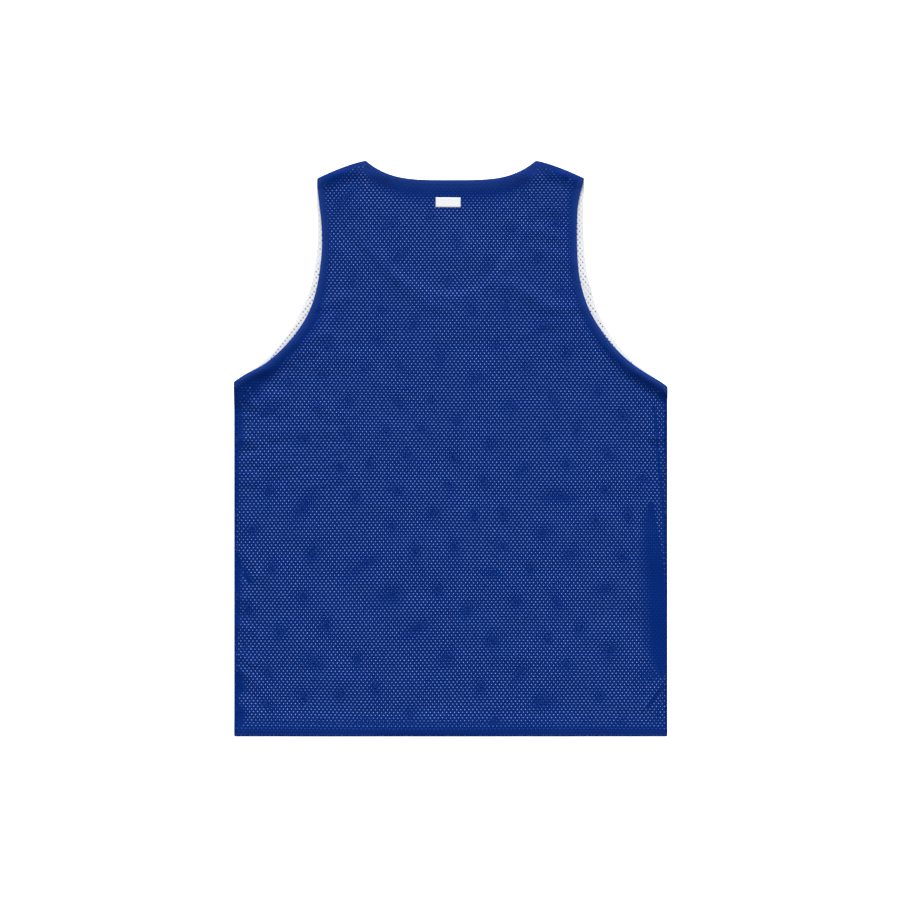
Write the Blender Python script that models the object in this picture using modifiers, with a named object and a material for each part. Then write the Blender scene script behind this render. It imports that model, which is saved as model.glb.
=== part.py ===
"""Mesh pinnie: a reversible tank top in two plies of knitted mesh, laid flat on its front.

The garment has four cut panels and a label. From the surface upwards they are the blue front, the
white front, the white back and the blue back. All four are sewn together at the side and shoulder
seams; each blue panel is sewn to its white one round the neck, the armholes and the hem.

Frame: metres, X across the chest, Y from the hem to the neck, Z up from the surface the garment
lies on. The origin is under the middle of the garment. It is seen from behind, so +X is the
wearer's right side.
"""
import bpy
import numpy as np
from mathutils import Vector
from mathutils.geometry import delaunay_2d_cdt

# ---------------------------------------------------------------- driving sizes, in metres
MM = 0.001
BODY_LENGTH = 0.760            # hem to the highest point of the shoulder
CHEST_WIDTH = 0.572            # side seam to side seam under the arms
NECK_WIDTH = 0.224             # between the two neck points
SHOULDER_WIDTH = 0.353         # between the two shoulder tips
SHOULDER_DROP = 0.0236         # the tips lie this far below the neck points
SHOULDER_BEND = 1.3            # over 1, the shoulder line leaves the neck point more level
BACK_NECK_DEPTH = 0.0256
BACK_NECK_SQUARENESS = 3.8     # power of the neckline: 2 is a plain bowl, more is flatter
FRONT_NECK_DEPTH = 0.178
FRONT_NECK_ROUNDNESS = 2.3     # power of the scoop: higher is squarer at its corners
FRONT_NECK_LEAN = 0.0065       # the scoop lies this far towards -X half way down

WALL = 1.0 * MM                # one ply of mesh with its loft
GAP = 0.3 * MM                 # between plies that touch
LOOSE_GAP = 0.6 * MM           # between the two back plies, which drape apart
SEAM_TURN = 4.0 * MM           # the blue plies bend to each other over this width at a seam
SEAM_INSET = 5.0 * MM          # the white plies stop this far inside a seam
EDGE_INSET = 0.8 * MM          # and this far inside a sewn neck, armhole or hem edge
RIM_LEAN = 0.6 * MM            # the bent rim of the blue back leans out by this, so it starts inside
NECK_SINK = 1.5 * MM           # the back plies sink this far where the front is scooped away
SINK_START = 2.0 * MM          # the step down starts this far inside the scoop's edge
SINK_SLOPE = 14.0 * MM         # and is this wide

LABEL_SIZE = (33 * MM, 13 * MM)
LABEL_CENTRE = (-3.1 * MM, 325.9 * MM)
LABEL_TILT = -0.009            # radians
LABEL_FLAT = 20 * MM           # the back lies flat this far round the label's centre
LABEL_FADE = 66 * MM           # and its folds come in over this much more

HALF_LENGTH = BODY_LENGTH / 2
HALF_CHEST = CHEST_WIDTH / 2
NECK_X = NECK_WIDTH / 2
SHOULDER_X = SHOULDER_WIDTH / 2

# Armhole edges in mm. y is measured from the middle of the garment's length. back_left and
# back_right are the distances of the back's edge from the centre line on the -X and +X sides.
# front_left and front_right say how much further out the front's edge lies, where it shows.
ARMHOLE_COLUMNS = ("y", "back_left", "back_right", "front_left", "front_right")
ARMHOLE = (
    (88.0, 286.0, 277.0, 0.0, 0.0),
    (97.0, 272.0, 261.5, 2.0, 2.5),
    (110.0, 248.2, 241.8, 6.5, 5.0),
    (126.0, 228.0, 223.2, 9.5, 6.5),
    (143.0, 211.6, 208.0, 10.5, 8.0),
    (162.0, 197.4, 194.6, 11.5, 9.5),
    (184.0, 185.6, 182.4, 12.0, 11.0),
    (208.0, 177.8, 174.0, 9.0, 12.5),
    (236.0, 172.8, 168.6, 7.8, 11.0),
    (266.0, 170.1, 166.8, 6.6, 10.0),
    (296.0, 170.6, 166.6, 5.2, 8.5),
    (322.0, 173.5, 167.9, 3.8, 7.5),
    (342.0, 175.6, 172.2, 2.0, 4.2),
    (356.4, 176.5, 176.5, 0.0, 0.0),
)
UNDERARM_RIGHT_Y = 81.4 * MM   # the +X underarm corner hangs a little lower than the -X one

# Largest folds of the back, in mm: soft ridges from (x0, y0) to (x1, y1) with a sideways bow,
# a half width and a height.
FOLD_COLUMNS = ("x0", "y0", "x1", "y1", "bow", "half_width", "height")
FOLDS = (
    (-118, 300, -40, 196, -12, 15, 2.4),   # left shoulder to the middle of the chest
    (-40, 192, 40, 150, 4, 15, 1.5),       # the same fold as it runs out
    (64, 216, 166, 184, 10, 15, 3.0),      # right chest to the armhole
    (76, 262, 150, 226, 6, 13, 1.6),       # right chest, upper
    (108, 152, 160, 168, -4, 13, 1.4),     # right chest, lower
    (-176, 186, -118, 206, 4, 11, 2.0),    # left armhole, upper wrinkle
    (-186, 146, -112, 166, 5, 12, 2.4),    # left armhole, lower wrinkle
    (-248, 72, -150, 60, 6, 16, 1.8),      # below the left underarm
    (186, 150, 262, 66, -14, 16, 2.2),     # below the right underarm
    (-258, 20, -130, 24, -4, 13, 1.2),     # left ripples
    (-262, -14, -120, -22, 3, 13, 1.2),
    (236, 22, 274, 26, 0, 12, 1.5),        # right side, under the arm
    (-270, -146, -236, -186, 0, 12, 1.8),  # left side puckers
    (-272, -226, -240, -246, 0, 11, 1.4),
    (-272, -280, -238, -300, 0, 11, 1.4),
    (250, -128, 250, -300, 6, 15, 1.4),    # right side, long vertical fold
    (-200, -346, 200, -346, 0, 14, 1.0),   # the cloth bellies out above the hem
    (-150, 345, -128, 318, 0, 12, 1.2),    # behind the left shoulder
    (128, 322, 152, 346, 0, 12, 1.4),      # behind the right shoulder
)
SWELL_HEIGHT = 0.9 * MM        # broad, low lift of the back between the seams
SWELL_LENGTH = 0.30            # metres from one swell to the next
SWELL_SLANT = 0.4              # the swells run this much aslant
SEAM_FADE = 24.0 * MM          # folds and swells die out over this width beside a seam
INNER_FOLLOWS = 0.6            # share of the folds that the white back takes up

OUTER_BACK_CELL = 16.0 * MM    # spacing of the mesh points on each panel
HIDDEN_CELL = 26.0 * MM
EDGE_STEP = 16.0 * MM          # spacing of the points along the edges
EDGE_CLEAR = 6.0 * MM          # points inside a panel keep this far from its edge
CELL_CLEAR = 0.6               # and this share of a cell from the points laid along a line
BEND_ROWS = (0.3, 1.0)         # rows of points beside a seam, as shares of SEAM_TURN

BLUE = (0.012, 0.055, 0.245, 1.0)
WHITE = (0.86, 0.87, 0.88, 1.0)
MESH_ROUGHNESS = 0.75
LABEL_ROUGHNESS = 0.6


# ---------------------------------------------------------------- curves of the cut
def smoothstep(value):
    """0 below 0, 1 above 1, and a soft ramp between."""
    t = np.clip(value, 0.0, 1.0)
    return t * t * (3.0 - 2.0 * t)


def read_column(table, columns, name):
    """One named column of a table in mm, as metres."""
    return np.array([row[columns.index(name)] for row in table], float) * MM


def smooth_curve(xs, ys, at):
    """A smooth curve through the points (xs, ys), read at the given places."""
    slopes = np.gradient(ys, xs)
    k = np.clip(np.searchsorted(xs, at) - 1, 0, len(xs) - 2)
    step = xs[k + 1] - xs[k]
    t = (at - xs[k]) / step
    return ((1 + 2 * t) * (1 - t) ** 2 * ys[k] + t * (1 - t) ** 2 * step * slopes[k]
            + t * t * (3 - 2 * t) * ys[k + 1] - t * t * (1 - t) * step * slopes[k + 1])


def armhole_edge(side, front):
    """The armhole of one side, from the underarm up to the shoulder tip; side is -1 or +1."""
    name = "left" if side < 0 else "right"
    ys = read_column(ARMHOLE, ARMHOLE_COLUMNS, "y")
    xs = read_column(ARMHOLE, ARMHOLE_COLUMNS, "back_" + name)
    if front:
        xs = xs + read_column(ARMHOLE, ARMHOLE_COLUMNS, "front_" + name)
    if side > 0:
        ys = np.append(UNDERARM_RIGHT_Y, ys)
        xs = np.append(HALF_CHEST, xs)
    heights = np.linspace(ys[0], ys[-1], 121)
    return np.column_stack((side * smooth_curve(ys, xs, heights), heights))


def shoulder_edge(side):
    """From the shoulder tip to the neck point of one side."""
    t = np.linspace(1.0, 0.0, 25)
    x = NECK_X + (SHOULDER_X - NECK_X) * t
    return np.column_stack((side * x, HALF_LENGTH - SHOULDER_DROP * t ** SHOULDER_BEND))


def neck_edge(front):
    """The neckline from the +X neck point to the -X one."""
    if not front:
        x = np.linspace(NECK_X, -NECK_X, 121)
        rise = BACK_NECK_DEPTH * np.abs(x / NECK_X) ** BACK_NECK_SQUARENESS
        return np.column_stack((x, HALF_LENGTH - BACK_NECK_DEPTH + rise))
    angle = np.linspace(0.0, np.pi, 181)
    x = NECK_X * np.cos(angle)
    depth = np.sin(angle) ** (2.0 / FRONT_NECK_ROUNDNESS)
    lean = FRONT_NECK_LEAN * np.sin(np.pi * depth)
    return np.column_stack((x - lean, HALF_LENGTH - FRONT_NECK_DEPTH * depth))


def cut_edges(front):
    """The panel's edges in order round the outline, anticlockwise seen from above."""
    right, left = armhole_edge(1, front), armhole_edge(-1, front)
    return {
        "hem": np.array([(-HALF_CHEST, -HALF_LENGTH), (HALF_CHEST, -HALF_LENGTH)]),
        "right_side": np.array([(HALF_CHEST, -HALF_LENGTH), right[0]]),
        "right_armhole": right,
        "right_shoulder": shoulder_edge(1),
        "neck": neck_edge(front),
        "left_shoulder": shoulder_edge(-1)[::-1],
        "left_armhole": left[::-1],
        "left_side": np.array([left[0], (-HALF_CHEST, -HALF_LENGTH)]),
    }


SEAMS = ("right_side", "right_shoulder", "left_shoulder", "left_side")


def even_points(line, step):
    """Points along a line about one step apart, without its last point."""
    along = np.append(0.0, np.cumsum(np.hypot(*np.diff(line, axis=0).T)))
    places = np.linspace(0.0, along[-1], max(2, round(along[-1] / step) + 1))[:-1]
    return np.column_stack([np.interp(places, along, line[:, axis]) for axis in (0, 1)])


def outline(front, step, seam_inset=0.0, edge_inset=0.0):
    """The panel's closed outline, moved inwards at its seams and at its sewn edges."""
    points, insets = [], []
    for name, line in cut_edges(front).items():
        part = even_points(line, step)
        points.append(part)
        insets.append(np.full(len(part), seam_inset if name in SEAMS else edge_inset))
    points, insets = np.vstack(points), np.concatenate(insets)
    if not insets.any():
        return points
    ahead, behind = np.roll(points, -1, 0) - points, points - np.roll(points, 1, 0)
    ahead /= np.linalg.norm(ahead, axis=1)[:, None]
    behind /= np.linalg.norm(behind, axis=1)[:, None]
    inward = np.column_stack((-(ahead + behind)[:, 1], (ahead + behind)[:, 0]))
    inward /= np.maximum(np.linalg.norm(inward, axis=1), 1.0)[:, None]
    insets = np.maximum(insets, np.roll(insets, 1))
    return points + inward * insets[:, None]


def distance_to(points, line):
    """Distance of each point from a line of straight pieces."""
    best = np.full(len(points), np.inf)
    for start, end in zip(line[:-1], line[1:]):
        way = end - start
        t = np.clip((points - start) @ way / (way @ way), 0.0, 1.0)
        best = np.minimum(best, np.linalg.norm(points - start - t[:, None] * way, axis=1))
    return best


def seam_distance(points, front):
    """Distance of each point from the nearest side or shoulder seam."""
    edges = cut_edges(front)
    return np.min([distance_to(points, edges[name]) for name in SEAMS], axis=0)


def is_inside(points, polygon):
    """True for each point that lies inside a closed polygon."""
    x, y = points.T
    inside = np.zeros(len(points), bool)
    for (x0, y0), (x1, y1) in zip(polygon, np.roll(polygon, -1, 0)):
        crosses = (y0 > y) != (y1 > y)
        rise = y1 - y0 if y1 != y0 else 1.0
        inside ^= crosses & (x < x0 + (y - y0) * (x1 - x0) / rise)
    return inside


# ---------------------------------------------------------------- heights of the plies
def fold_height(points, row):
    """Height of one soft ridge, which fades at both ends."""
    fold = dict(zip(FOLD_COLUMNS, row))
    start = np.array((fold["x0"], fold["y0"])) * MM
    way = np.array((fold["x1"], fold["y1"])) * MM - start
    length = np.linalg.norm(way)
    along = (points - start) @ way / length
    across = (points - start) @ np.array((-way[1], way[0])) / length
    t = np.clip(along / length, 0.0, 1.0)
    across = across - fold["bow"] * MM * 4.0 * t * (1.0 - t)
    beyond = along - t * length
    return fold["height"] * MM * np.exp(-(across ** 2 + beyond ** 2) / (fold["half_width"] * MM) ** 2)


def back_relief(points):
    """How far the back lifts off the front: its folds and a broad swell, none of it at the seams."""
    x, y = points.T
    folds = np.sqrt(sum(fold_height(points, row) ** 2 for row in FOLDS))
    turn = 2 * np.pi / SWELL_LENGTH
    swell = SWELL_HEIGHT * 0.5 * (1.0 + np.sin(turn * (x + SWELL_SLANT * y)) * np.cos(turn * y))
    from_label = np.linalg.norm(points - LABEL_CENTRE, axis=1)
    at_label = smoothstep((from_label - LABEL_FLAT) / LABEL_FADE)
    at_seam = smoothstep(seam_distance(points, False) / SEAM_FADE)
    return (folds + swell) * at_label * at_seam


def neck_sink(points):
    """How far the back sinks where it spans the scooped front neck."""
    scoop = neck_edge(True)
    depth_in = distance_to(points, scoop) * is_inside(points, scoop)
    return NECK_SINK * smoothstep((depth_in - SINK_START) / SINK_SLOPE)


def seam_bend(points, front, drop):
    """The rounded turn of a blue ply towards the other one at a seam."""
    t = np.clip(1.0 - seam_distance(points, front) / SEAM_TURN, 0.0, 1.0)
    return drop * (1.0 - np.sqrt(1.0 - t * t))


FRONT_INNER_Z = WALL + GAP
BACK_INNER_Z = FRONT_INNER_Z + WALL + GAP
BACK_OUTER_Z = BACK_INNER_Z + WALL + LOOSE_GAP
SEAM_Z = (BACK_OUTER_Z - WALL) / 2         # height of the blue front's underside at a seam


def front_outer_height(points):
    return seam_bend(points, True, SEAM_Z)


def front_inner_height(points):
    return np.full(len(points), FRONT_INNER_Z)


def back_inner_height(points):
    return BACK_INNER_Z + INNER_FOLLOWS * back_relief(points) - neck_sink(points)


def back_outer_height(points):
    bend = seam_bend(points, False, BACK_OUTER_Z - SEAM_Z - WALL - GAP)
    return BACK_OUTER_Z + back_relief(points) - neck_sink(points) - bend


# ---------------------------------------------------------------- objects
def principled(name, colour, roughness):
    material = bpy.data.materials.new(name)
    material.use_nodes = True
    shader = material.node_tree.nodes["Principled BSDF"]
    shader.inputs["Base Color"].default_value = colour
    shader.inputs["Roughness"].default_value = roughness
    shader.inputs["Metallic"].default_value = 0.0
    material.diffuse_color = colour
    return material


def filled_outline(border, cell, guides):
    """Triangles over a closed border, with guide points and evenly spread points inside it."""
    low, high = border.min(axis=0), border.max(axis=0)
    row_step = cell * 3 ** 0.5 / 2
    rows = np.arange(low[1] + row_step / 2, high[1], row_step)
    grid = np.array([(x + (k % 2) * cell / 2, y) for k, y in enumerate(rows)
                     for x in np.arange(low[0], high[0], cell)])
    fixed = np.vstack((border, guides)) if len(guides) else border
    nearest = np.min([np.linalg.norm(grid - point, axis=1) for point in fixed], axis=0)
    grid = grid[(nearest > CELL_CLEAR * cell) & is_inside(grid, border)]
    points = [Vector(point) for point in np.vstack((fixed, grid))]
    loop = list(range(len(border)))
    vertices, _, faces, _, _, _ = delaunay_2d_cdt(points, [], [loop], 1, 1e-7)
    return np.array([tuple(vertex) for vertex in vertices]), faces


def sheet_object(name, border, guides, cell, height, material, collection):
    """A ply of cloth: the filled border lifted to its height, given its wall by Solidify."""
    flat, faces = filled_outline(border, cell, guides)
    lifted = np.column_stack((flat, height(flat)))
    mesh = bpy.data.meshes.new(name)
    mesh.from_pydata(lifted.tolist(), [], faces)
    mesh.validate()
    mesh.shade_smooth()
    mesh.materials.append(material)
    ply = bpy.data.objects.new(name, mesh)
    collection.objects.link(ply)
    solidify = ply.modifiers.new("wall", "SOLIDIFY")
    solidify.thickness = WALL
    solidify.offset = 1.0
    solidify.use_rim = True
    return ply


def seam_guides(front):
    """Rows of points beside the seams, which carry the bend of a blue ply."""
    rows = []
    for share in BEND_ROWS:
        inset = share * SEAM_TURN
        row = outline(front, EDGE_STEP, inset, inset)
        rows.append(row[seam_distance(row, front) < inset + GAP])
    return np.vstack(rows)


def scoop_guides(border):
    """Points on the back along the front's scoop, at the top and the foot of the step into it."""
    top = even_points(neck_edge(True), EDGE_STEP)
    ahead = np.gradient(top, axis=0)
    to_panel = np.column_stack((-ahead[:, 1], ahead[:, 0])) / np.linalg.norm(ahead, axis=1)[:, None]
    foot = top - to_panel * (SINK_START + SINK_SLOPE)
    rows = np.vstack((top, foot))
    clear = distance_to(rows, np.vstack((border, border[:1]))) > EDGE_CLEAR
    return rows[clear & is_inside(rows, border)]


def label_border():
    """The label's rectangle, with a few points along each side."""
    width, height = LABEL_SIZE
    corners = np.array([(-1, -1), (1, -1), (1, 1), (-1, 1), (-1, -1)]) * (width / 2, height / 2)
    across = np.array((np.cos(LABEL_TILT), np.sin(LABEL_TILT)))
    up = np.array((-across[1], across[0]))
    return even_points(corners @ np.array((across, up)) + LABEL_CENTRE, height / 3)


def label_height(points):
    """The label lies on the blue back's outer face."""
    return back_outer_height(points) + WALL + GAP


def main():
    for thing in list(bpy.data.objects):
        bpy.data.objects.remove(thing, do_unlink=True)
    pinnie = bpy.data.collections.new("mesh_pinnie")
    bpy.context.scene.collection.children.link(pinnie)
    blue = principled("blue_mesh", BLUE, MESH_ROUGHNESS)
    white = principled("white_mesh", WHITE, MESH_ROUGHNESS)
    woven = principled("label_white", WHITE, LABEL_ROUGHNESS)

    border = outline(True, EDGE_STEP)
    sheet_object("front_outer", border, seam_guides(True), HIDDEN_CELL, front_outer_height, blue, pinnie)
    border = outline(True, EDGE_STEP, SEAM_INSET, EDGE_INSET)
    sheet_object("front_inner", border, [], HIDDEN_CELL, front_inner_height, white, pinnie)
    border = outline(False, EDGE_STEP, SEAM_INSET, EDGE_INSET)
    sheet_object("back_inner", border, scoop_guides(border), HIDDEN_CELL, back_inner_height, white, pinnie)
    border = outline(False, EDGE_STEP, RIM_LEAN, 0.0)
    guides = np.vstack((seam_guides(False), scoop_guides(border)))
    sheet_object("back_outer", border, guides, OUTER_BACK_CELL, back_outer_height, blue, pinnie)
    sheet_object("label", label_border(), [], LABEL_SIZE[1] / 3, label_height, woven, pinnie)


main()
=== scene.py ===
# %% [markdown]
# # A reversible mesh pinnie, laid flat on its front
# A pinnie is the loose sleeveless vest that teams pull on for training. This one is cut twice,
# once in blue mesh and once in white, and the two vests are sewn together round the neck, the
# armholes and the hem, so that it can be worn either way out. It lies blue side out, face down, and
# we look straight down on its back.
#
# The lesson builds it as a maker would: the cut, the lie of the cloth, the knitted net with real
# holes, the turned edges, the stitching and the label, and then the finishes. First comes the frame:
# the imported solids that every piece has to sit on.

# %% Load the frame
import math
from functools import partialmethod

import bpy
import numpy as np
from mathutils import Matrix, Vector
from mathutils.geometry import delaunay_2d_cdt


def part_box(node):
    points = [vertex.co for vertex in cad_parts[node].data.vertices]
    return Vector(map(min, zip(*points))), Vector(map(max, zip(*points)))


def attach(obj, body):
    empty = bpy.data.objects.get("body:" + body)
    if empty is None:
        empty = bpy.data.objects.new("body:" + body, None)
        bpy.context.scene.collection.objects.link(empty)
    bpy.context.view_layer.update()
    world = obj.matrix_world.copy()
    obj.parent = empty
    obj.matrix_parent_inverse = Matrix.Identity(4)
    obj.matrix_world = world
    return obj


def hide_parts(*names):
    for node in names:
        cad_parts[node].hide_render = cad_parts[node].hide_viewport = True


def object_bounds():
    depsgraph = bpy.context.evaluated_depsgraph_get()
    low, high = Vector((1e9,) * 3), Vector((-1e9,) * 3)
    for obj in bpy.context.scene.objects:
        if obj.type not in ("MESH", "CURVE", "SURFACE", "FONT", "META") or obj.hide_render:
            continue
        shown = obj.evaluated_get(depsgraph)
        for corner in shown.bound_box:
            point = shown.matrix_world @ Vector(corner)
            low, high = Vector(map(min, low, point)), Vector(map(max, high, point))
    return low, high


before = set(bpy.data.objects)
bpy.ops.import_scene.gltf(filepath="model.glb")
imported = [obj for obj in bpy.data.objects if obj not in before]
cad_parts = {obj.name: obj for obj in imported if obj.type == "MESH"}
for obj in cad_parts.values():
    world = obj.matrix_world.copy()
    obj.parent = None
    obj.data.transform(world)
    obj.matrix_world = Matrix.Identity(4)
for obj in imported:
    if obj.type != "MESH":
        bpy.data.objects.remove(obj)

MM = 0.001
CAD_BOX = [list(corner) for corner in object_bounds()]
BACK_BOX = [list(corner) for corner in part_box("back_outer")]
print("frame box in mm:", [[round(v / MM, 1) for v in corner] for corner in CAD_BOX])

# %% [markdown]
# ## Camera
# A flat lay is shot from straight above. A long lens keeps the picture free of perspective, so one
# scale holds over the whole garment: the picture is 900 pixels wide and 1.3215 mm fall on each.

# %% Camera straight above
def add_object(name, data):
    thing = bpy.data.objects.new(name, data)
    bpy.context.scene.collection.objects.link(thing)
    return thing


PICTURE_PIXELS = 900
MM_PER_PIXEL = 1.3215
PICTURE_CENTRE = (-1.0 * MM, -2.0 * MM)
LENS_MM = 120.0
SENSOR_MM = 36.0

camera_data = bpy.data.cameras.new("overhead_camera")
camera_data.lens = LENS_MM
camera_data.sensor_width = SENSOR_MM
camera = add_object("overhead_camera", camera_data)
camera_height = PICTURE_PIXELS * MM_PER_PIXEL * MM * LENS_MM / SENSOR_MM
camera.location = (*PICTURE_CENTRE, camera_height)
camera.rotation_euler = (0.0, 0.0, 0.0)
camera_data.clip_end = 20.0
bpy.context.scene.camera = camera
print("camera height in m:", round(camera_height, 3))

# %% [markdown]
# ## The cut
# Both sides of the garment come from one block: straight side seams and hem, sloping shoulders and
# deep armholes. The back has a shallow neck and the front a deep scoop. The curves are worked out
# from a few sizes. The armholes, which are free curves, are a short table read with a smooth curve.

# %% Sizes of the cut
BODY_LENGTH = CAD_BOX[1][1] - CAD_BOX[0][1]
CHEST_WIDTH = CAD_BOX[1][0] - CAD_BOX[0][0]
HALF_LENGTH = BODY_LENGTH / 2
HALF_CHEST = CHEST_WIDTH / 2
NECK_X = 112 * MM
SHOULDER_X = 176.5 * MM
SHOULDER_DROP = 23.6 * MM
SHOULDER_BEND = 1.3
BACK_NECK_DEPTH = 25.6 * MM
BACK_NECK_SQUARENESS = 3.8
FRONT_NECK_DEPTH = 178 * MM
FRONT_NECK_ROUNDNESS = 2.3
FRONT_NECK_LEAN = 6.5 * MM
UNDERARM_RIGHT_Y = 81.4 * MM

# Armhole edges in mm: the back's distance from the centre line on each side, and how much further
# out the front's edge lies.
ARMHOLE_COLUMNS = ("y", "back_left", "back_right", "front_left", "front_right")
ARMHOLE_ROWS = (
    (88.0, 286.0, 277.0, 0.0, 0.0),
    (97.0, 272.0, 261.5, 2.0, 2.5),
    (110.0, 248.2, 241.8, 6.5, 5.0),
    (126.0, 228.0, 223.2, 9.5, 6.5),
    (143.0, 211.6, 208.0, 10.5, 8.0),
    (162.0, 197.4, 194.6, 11.5, 9.5),
    (184.0, 185.6, 182.4, 12.0, 11.0),
    (208.0, 177.8, 174.0, 9.0, 12.5),
    (236.0, 172.8, 168.6, 7.8, 11.0),
    (266.0, 170.1, 166.8, 6.6, 10.0),
    (296.0, 170.6, 166.6, 5.2, 8.5),
    (322.0, 173.5, 167.9, 3.8, 7.5),
    (342.0, 175.6, 172.2, 2.0, 4.2),
    (356.4, 176.5, 176.5, 0.0, 0.0),
)
ARMHOLE = dict(zip(ARMHOLE_COLUMNS, np.array(ARMHOLE_ROWS).T * MM))
CURVE_POINTS = 241             # points on an armhole or on the back's neckline


# %% Curves of the cut
def smoothstep(value):
    """0 below 0, 1 above 1, and a soft ramp between."""
    t = np.clip(value, 0.0, 1.0)
    return t * t * (3.0 - 2.0 * t)


def smooth_curve(xs, ys, at):
    """A smooth curve through the points (xs, ys), read at the given places."""
    slopes = np.gradient(ys, xs)
    k = np.clip(np.searchsorted(xs, at) - 1, 0, len(xs) - 2)
    step = xs[k + 1] - xs[k]
    t = (at - xs[k]) / step
    return ((1 + 2 * t) * (1 - t) ** 2 * ys[k] + t * (1 - t) ** 2 * step * slopes[k]
            + t * t * (3 - 2 * t) * ys[k + 1] - t * t * (1 - t) * step * slopes[k + 1])


def armhole_edge(side, front):
    """The armhole of one side, from the underarm up to the shoulder tip; side is -1 or +1."""
    name = "left" if side < 0 else "right"
    ys, xs = ARMHOLE["y"], ARMHOLE["back_" + name]
    if front:
        xs = xs + ARMHOLE["front_" + name]
    if side > 0:
        ys = np.append(UNDERARM_RIGHT_Y, ys)
        xs = np.append(HALF_CHEST, xs)
    heights = np.linspace(ys[0], ys[-1], CURVE_POINTS)
    return np.column_stack((side * smooth_curve(ys, xs, heights), heights))


def shoulder_edge(side):
    """From the shoulder tip to the neck point of one side."""
    t = np.linspace(1.0, 0.0, 41)
    x = NECK_X + (SHOULDER_X - NECK_X) * t
    return np.column_stack((side * x, HALF_LENGTH - SHOULDER_DROP * t ** SHOULDER_BEND))


def neck_edge(front):
    """The neckline from the +X neck point to the -X one."""
    if not front:
        x = np.linspace(NECK_X, -NECK_X, CURVE_POINTS)
        rise = BACK_NECK_DEPTH * np.abs(x / NECK_X) ** BACK_NECK_SQUARENESS
        return np.column_stack((x, HALF_LENGTH - BACK_NECK_DEPTH + rise))
    angle = np.linspace(0.0, np.pi, 361)
    depth = np.sin(angle) ** (2.0 / FRONT_NECK_ROUNDNESS)
    lean = FRONT_NECK_LEAN * np.sin(np.pi * depth)
    return np.column_stack((NECK_X * np.cos(angle) - lean, HALF_LENGTH - FRONT_NECK_DEPTH * depth))


def cut_edges(front):
    """The panel's edges in order round the outline, anticlockwise seen from above."""
    right, left = armhole_edge(1, front), armhole_edge(-1, front)
    return {
        "hem": np.array([(-HALF_CHEST, -HALF_LENGTH), (HALF_CHEST, -HALF_LENGTH)]),
        "right_side": np.array([(HALF_CHEST, -HALF_LENGTH), right[0]]),
        "right_armhole": right,
        "right_shoulder": shoulder_edge(1),
        "neck": neck_edge(front),
        "left_shoulder": shoulder_edge(-1)[::-1],
        "left_armhole": left[::-1],
        "left_side": np.array([left[0], (-HALF_CHEST, -HALF_LENGTH)]),
    }


SEAMS = ("right_side", "right_shoulder", "left_shoulder", "left_side")


def line_length(line):
    return float(np.hypot(*np.diff(line, axis=0).T).sum())


BACK_CUT, FRONT_CUT = cut_edges(False), cut_edges(True)
for name in ("hem", "neck", "left_armhole", "left_side"):
    lengths = [round(line_length(cut[name]), 3) for cut in (BACK_CUT, FRONT_CUT)]
    print(name, "of the back and the front, in m:", lengths)


# %% [markdown]
# ## The outline as a loop of points
# The pieces are sewn with their edges turned in, so a corner is never quite sharp. The outline is
# sampled evenly and then softened a little, which rounds the hem corners and the neck points as a
# turned edge does. Each point remembers which edge it belongs to and which way the cloth lies.

# %% Outline loop
EDGE_STEP = 2.2 * MM
CORNER_SOFTENING = 0.25        # how far each point moves towards the middle of its neighbours
MANY_POINTS = 50               # a line with more points than this is a curve


def even_points(line, step):
    """Points along a line about one step apart, without its last point."""
    along = np.append(0.0, np.cumsum(np.hypot(*np.diff(line, axis=0).T)))
    places = np.linspace(0.0, along[-1], max(2, round(along[-1] / step) + 1))[:-1]
    return np.column_stack([np.interp(places, along, line[:, axis]) for axis in (0, 1)])


class Outline:
    """A panel's closed outline: points, unit vectors into the cloth, and the points of each edge."""

    def __init__(self, cut, seam_inset, edge_inset):
        points, insets, self.edge_points, count = [], [], {}, 0
        for name, line in cut.items():
            part = even_points(line, EDGE_STEP)
            self.edge_points[name] = np.arange(count, count + len(part) + 1)
            count += len(part)
            points.append(part)
            insets.append(np.full(len(part), seam_inset if name in SEAMS else edge_inset))
        points, insets = np.vstack(points), np.concatenate(insets)
        for name in self.edge_points:
            self.edge_points[name] %= count
        middle = (np.roll(points, 1, 0) + np.roll(points, -1, 0)) / 2
        points = points + CORNER_SOFTENING * (middle - points)
        ahead = np.roll(points, -1, 0) - np.roll(points, 1, 0)
        ahead /= np.linalg.norm(ahead, axis=1)[:, None]
        self.inward = np.column_stack((-ahead[:, 1], ahead[:, 0]))
        smooth_insets = (np.roll(insets, 1) + 2 * insets + np.roll(insets, -1)) / 4
        self.points = points + self.inward * smooth_insets[:, None]


def nearest_on(points, line):
    """Distance of each point from a line, and the place of the nearest point along it from 0 to 1."""
    steps = np.hypot(*np.diff(line, axis=0).T)
    along = np.append(0.0, np.cumsum(steps))
    best, place = np.full(len(points), np.inf), np.zeros(len(points))
    for k, (start, end) in enumerate(zip(line[:-1], line[1:])):
        way = end - start
        t = np.clip((points - start) @ way / (way @ way), 0.0, 1.0)
        gap = points - start - t[:, None] * way
        square = gap[:, 0] ** 2 + gap[:, 1] ** 2
        closer = square < best
        best = np.where(closer, square, best)
        place = np.where(closer, along[k] + t * steps[k], place)
    return np.sqrt(best), place / along[-1]


def distance_to(points, line):
    return nearest_on(points, line)[0]


def sparser(line, step):
    """Every few points of a curve, which is quicker to measure from; a straight line stays as it is."""
    return line[::step] if len(line) > MANY_POINTS else line


def distance_to_edges(points, cut, names):
    return np.min([distance_to(points, sparser(cut[name], 4)) for name in names], axis=0)


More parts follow.
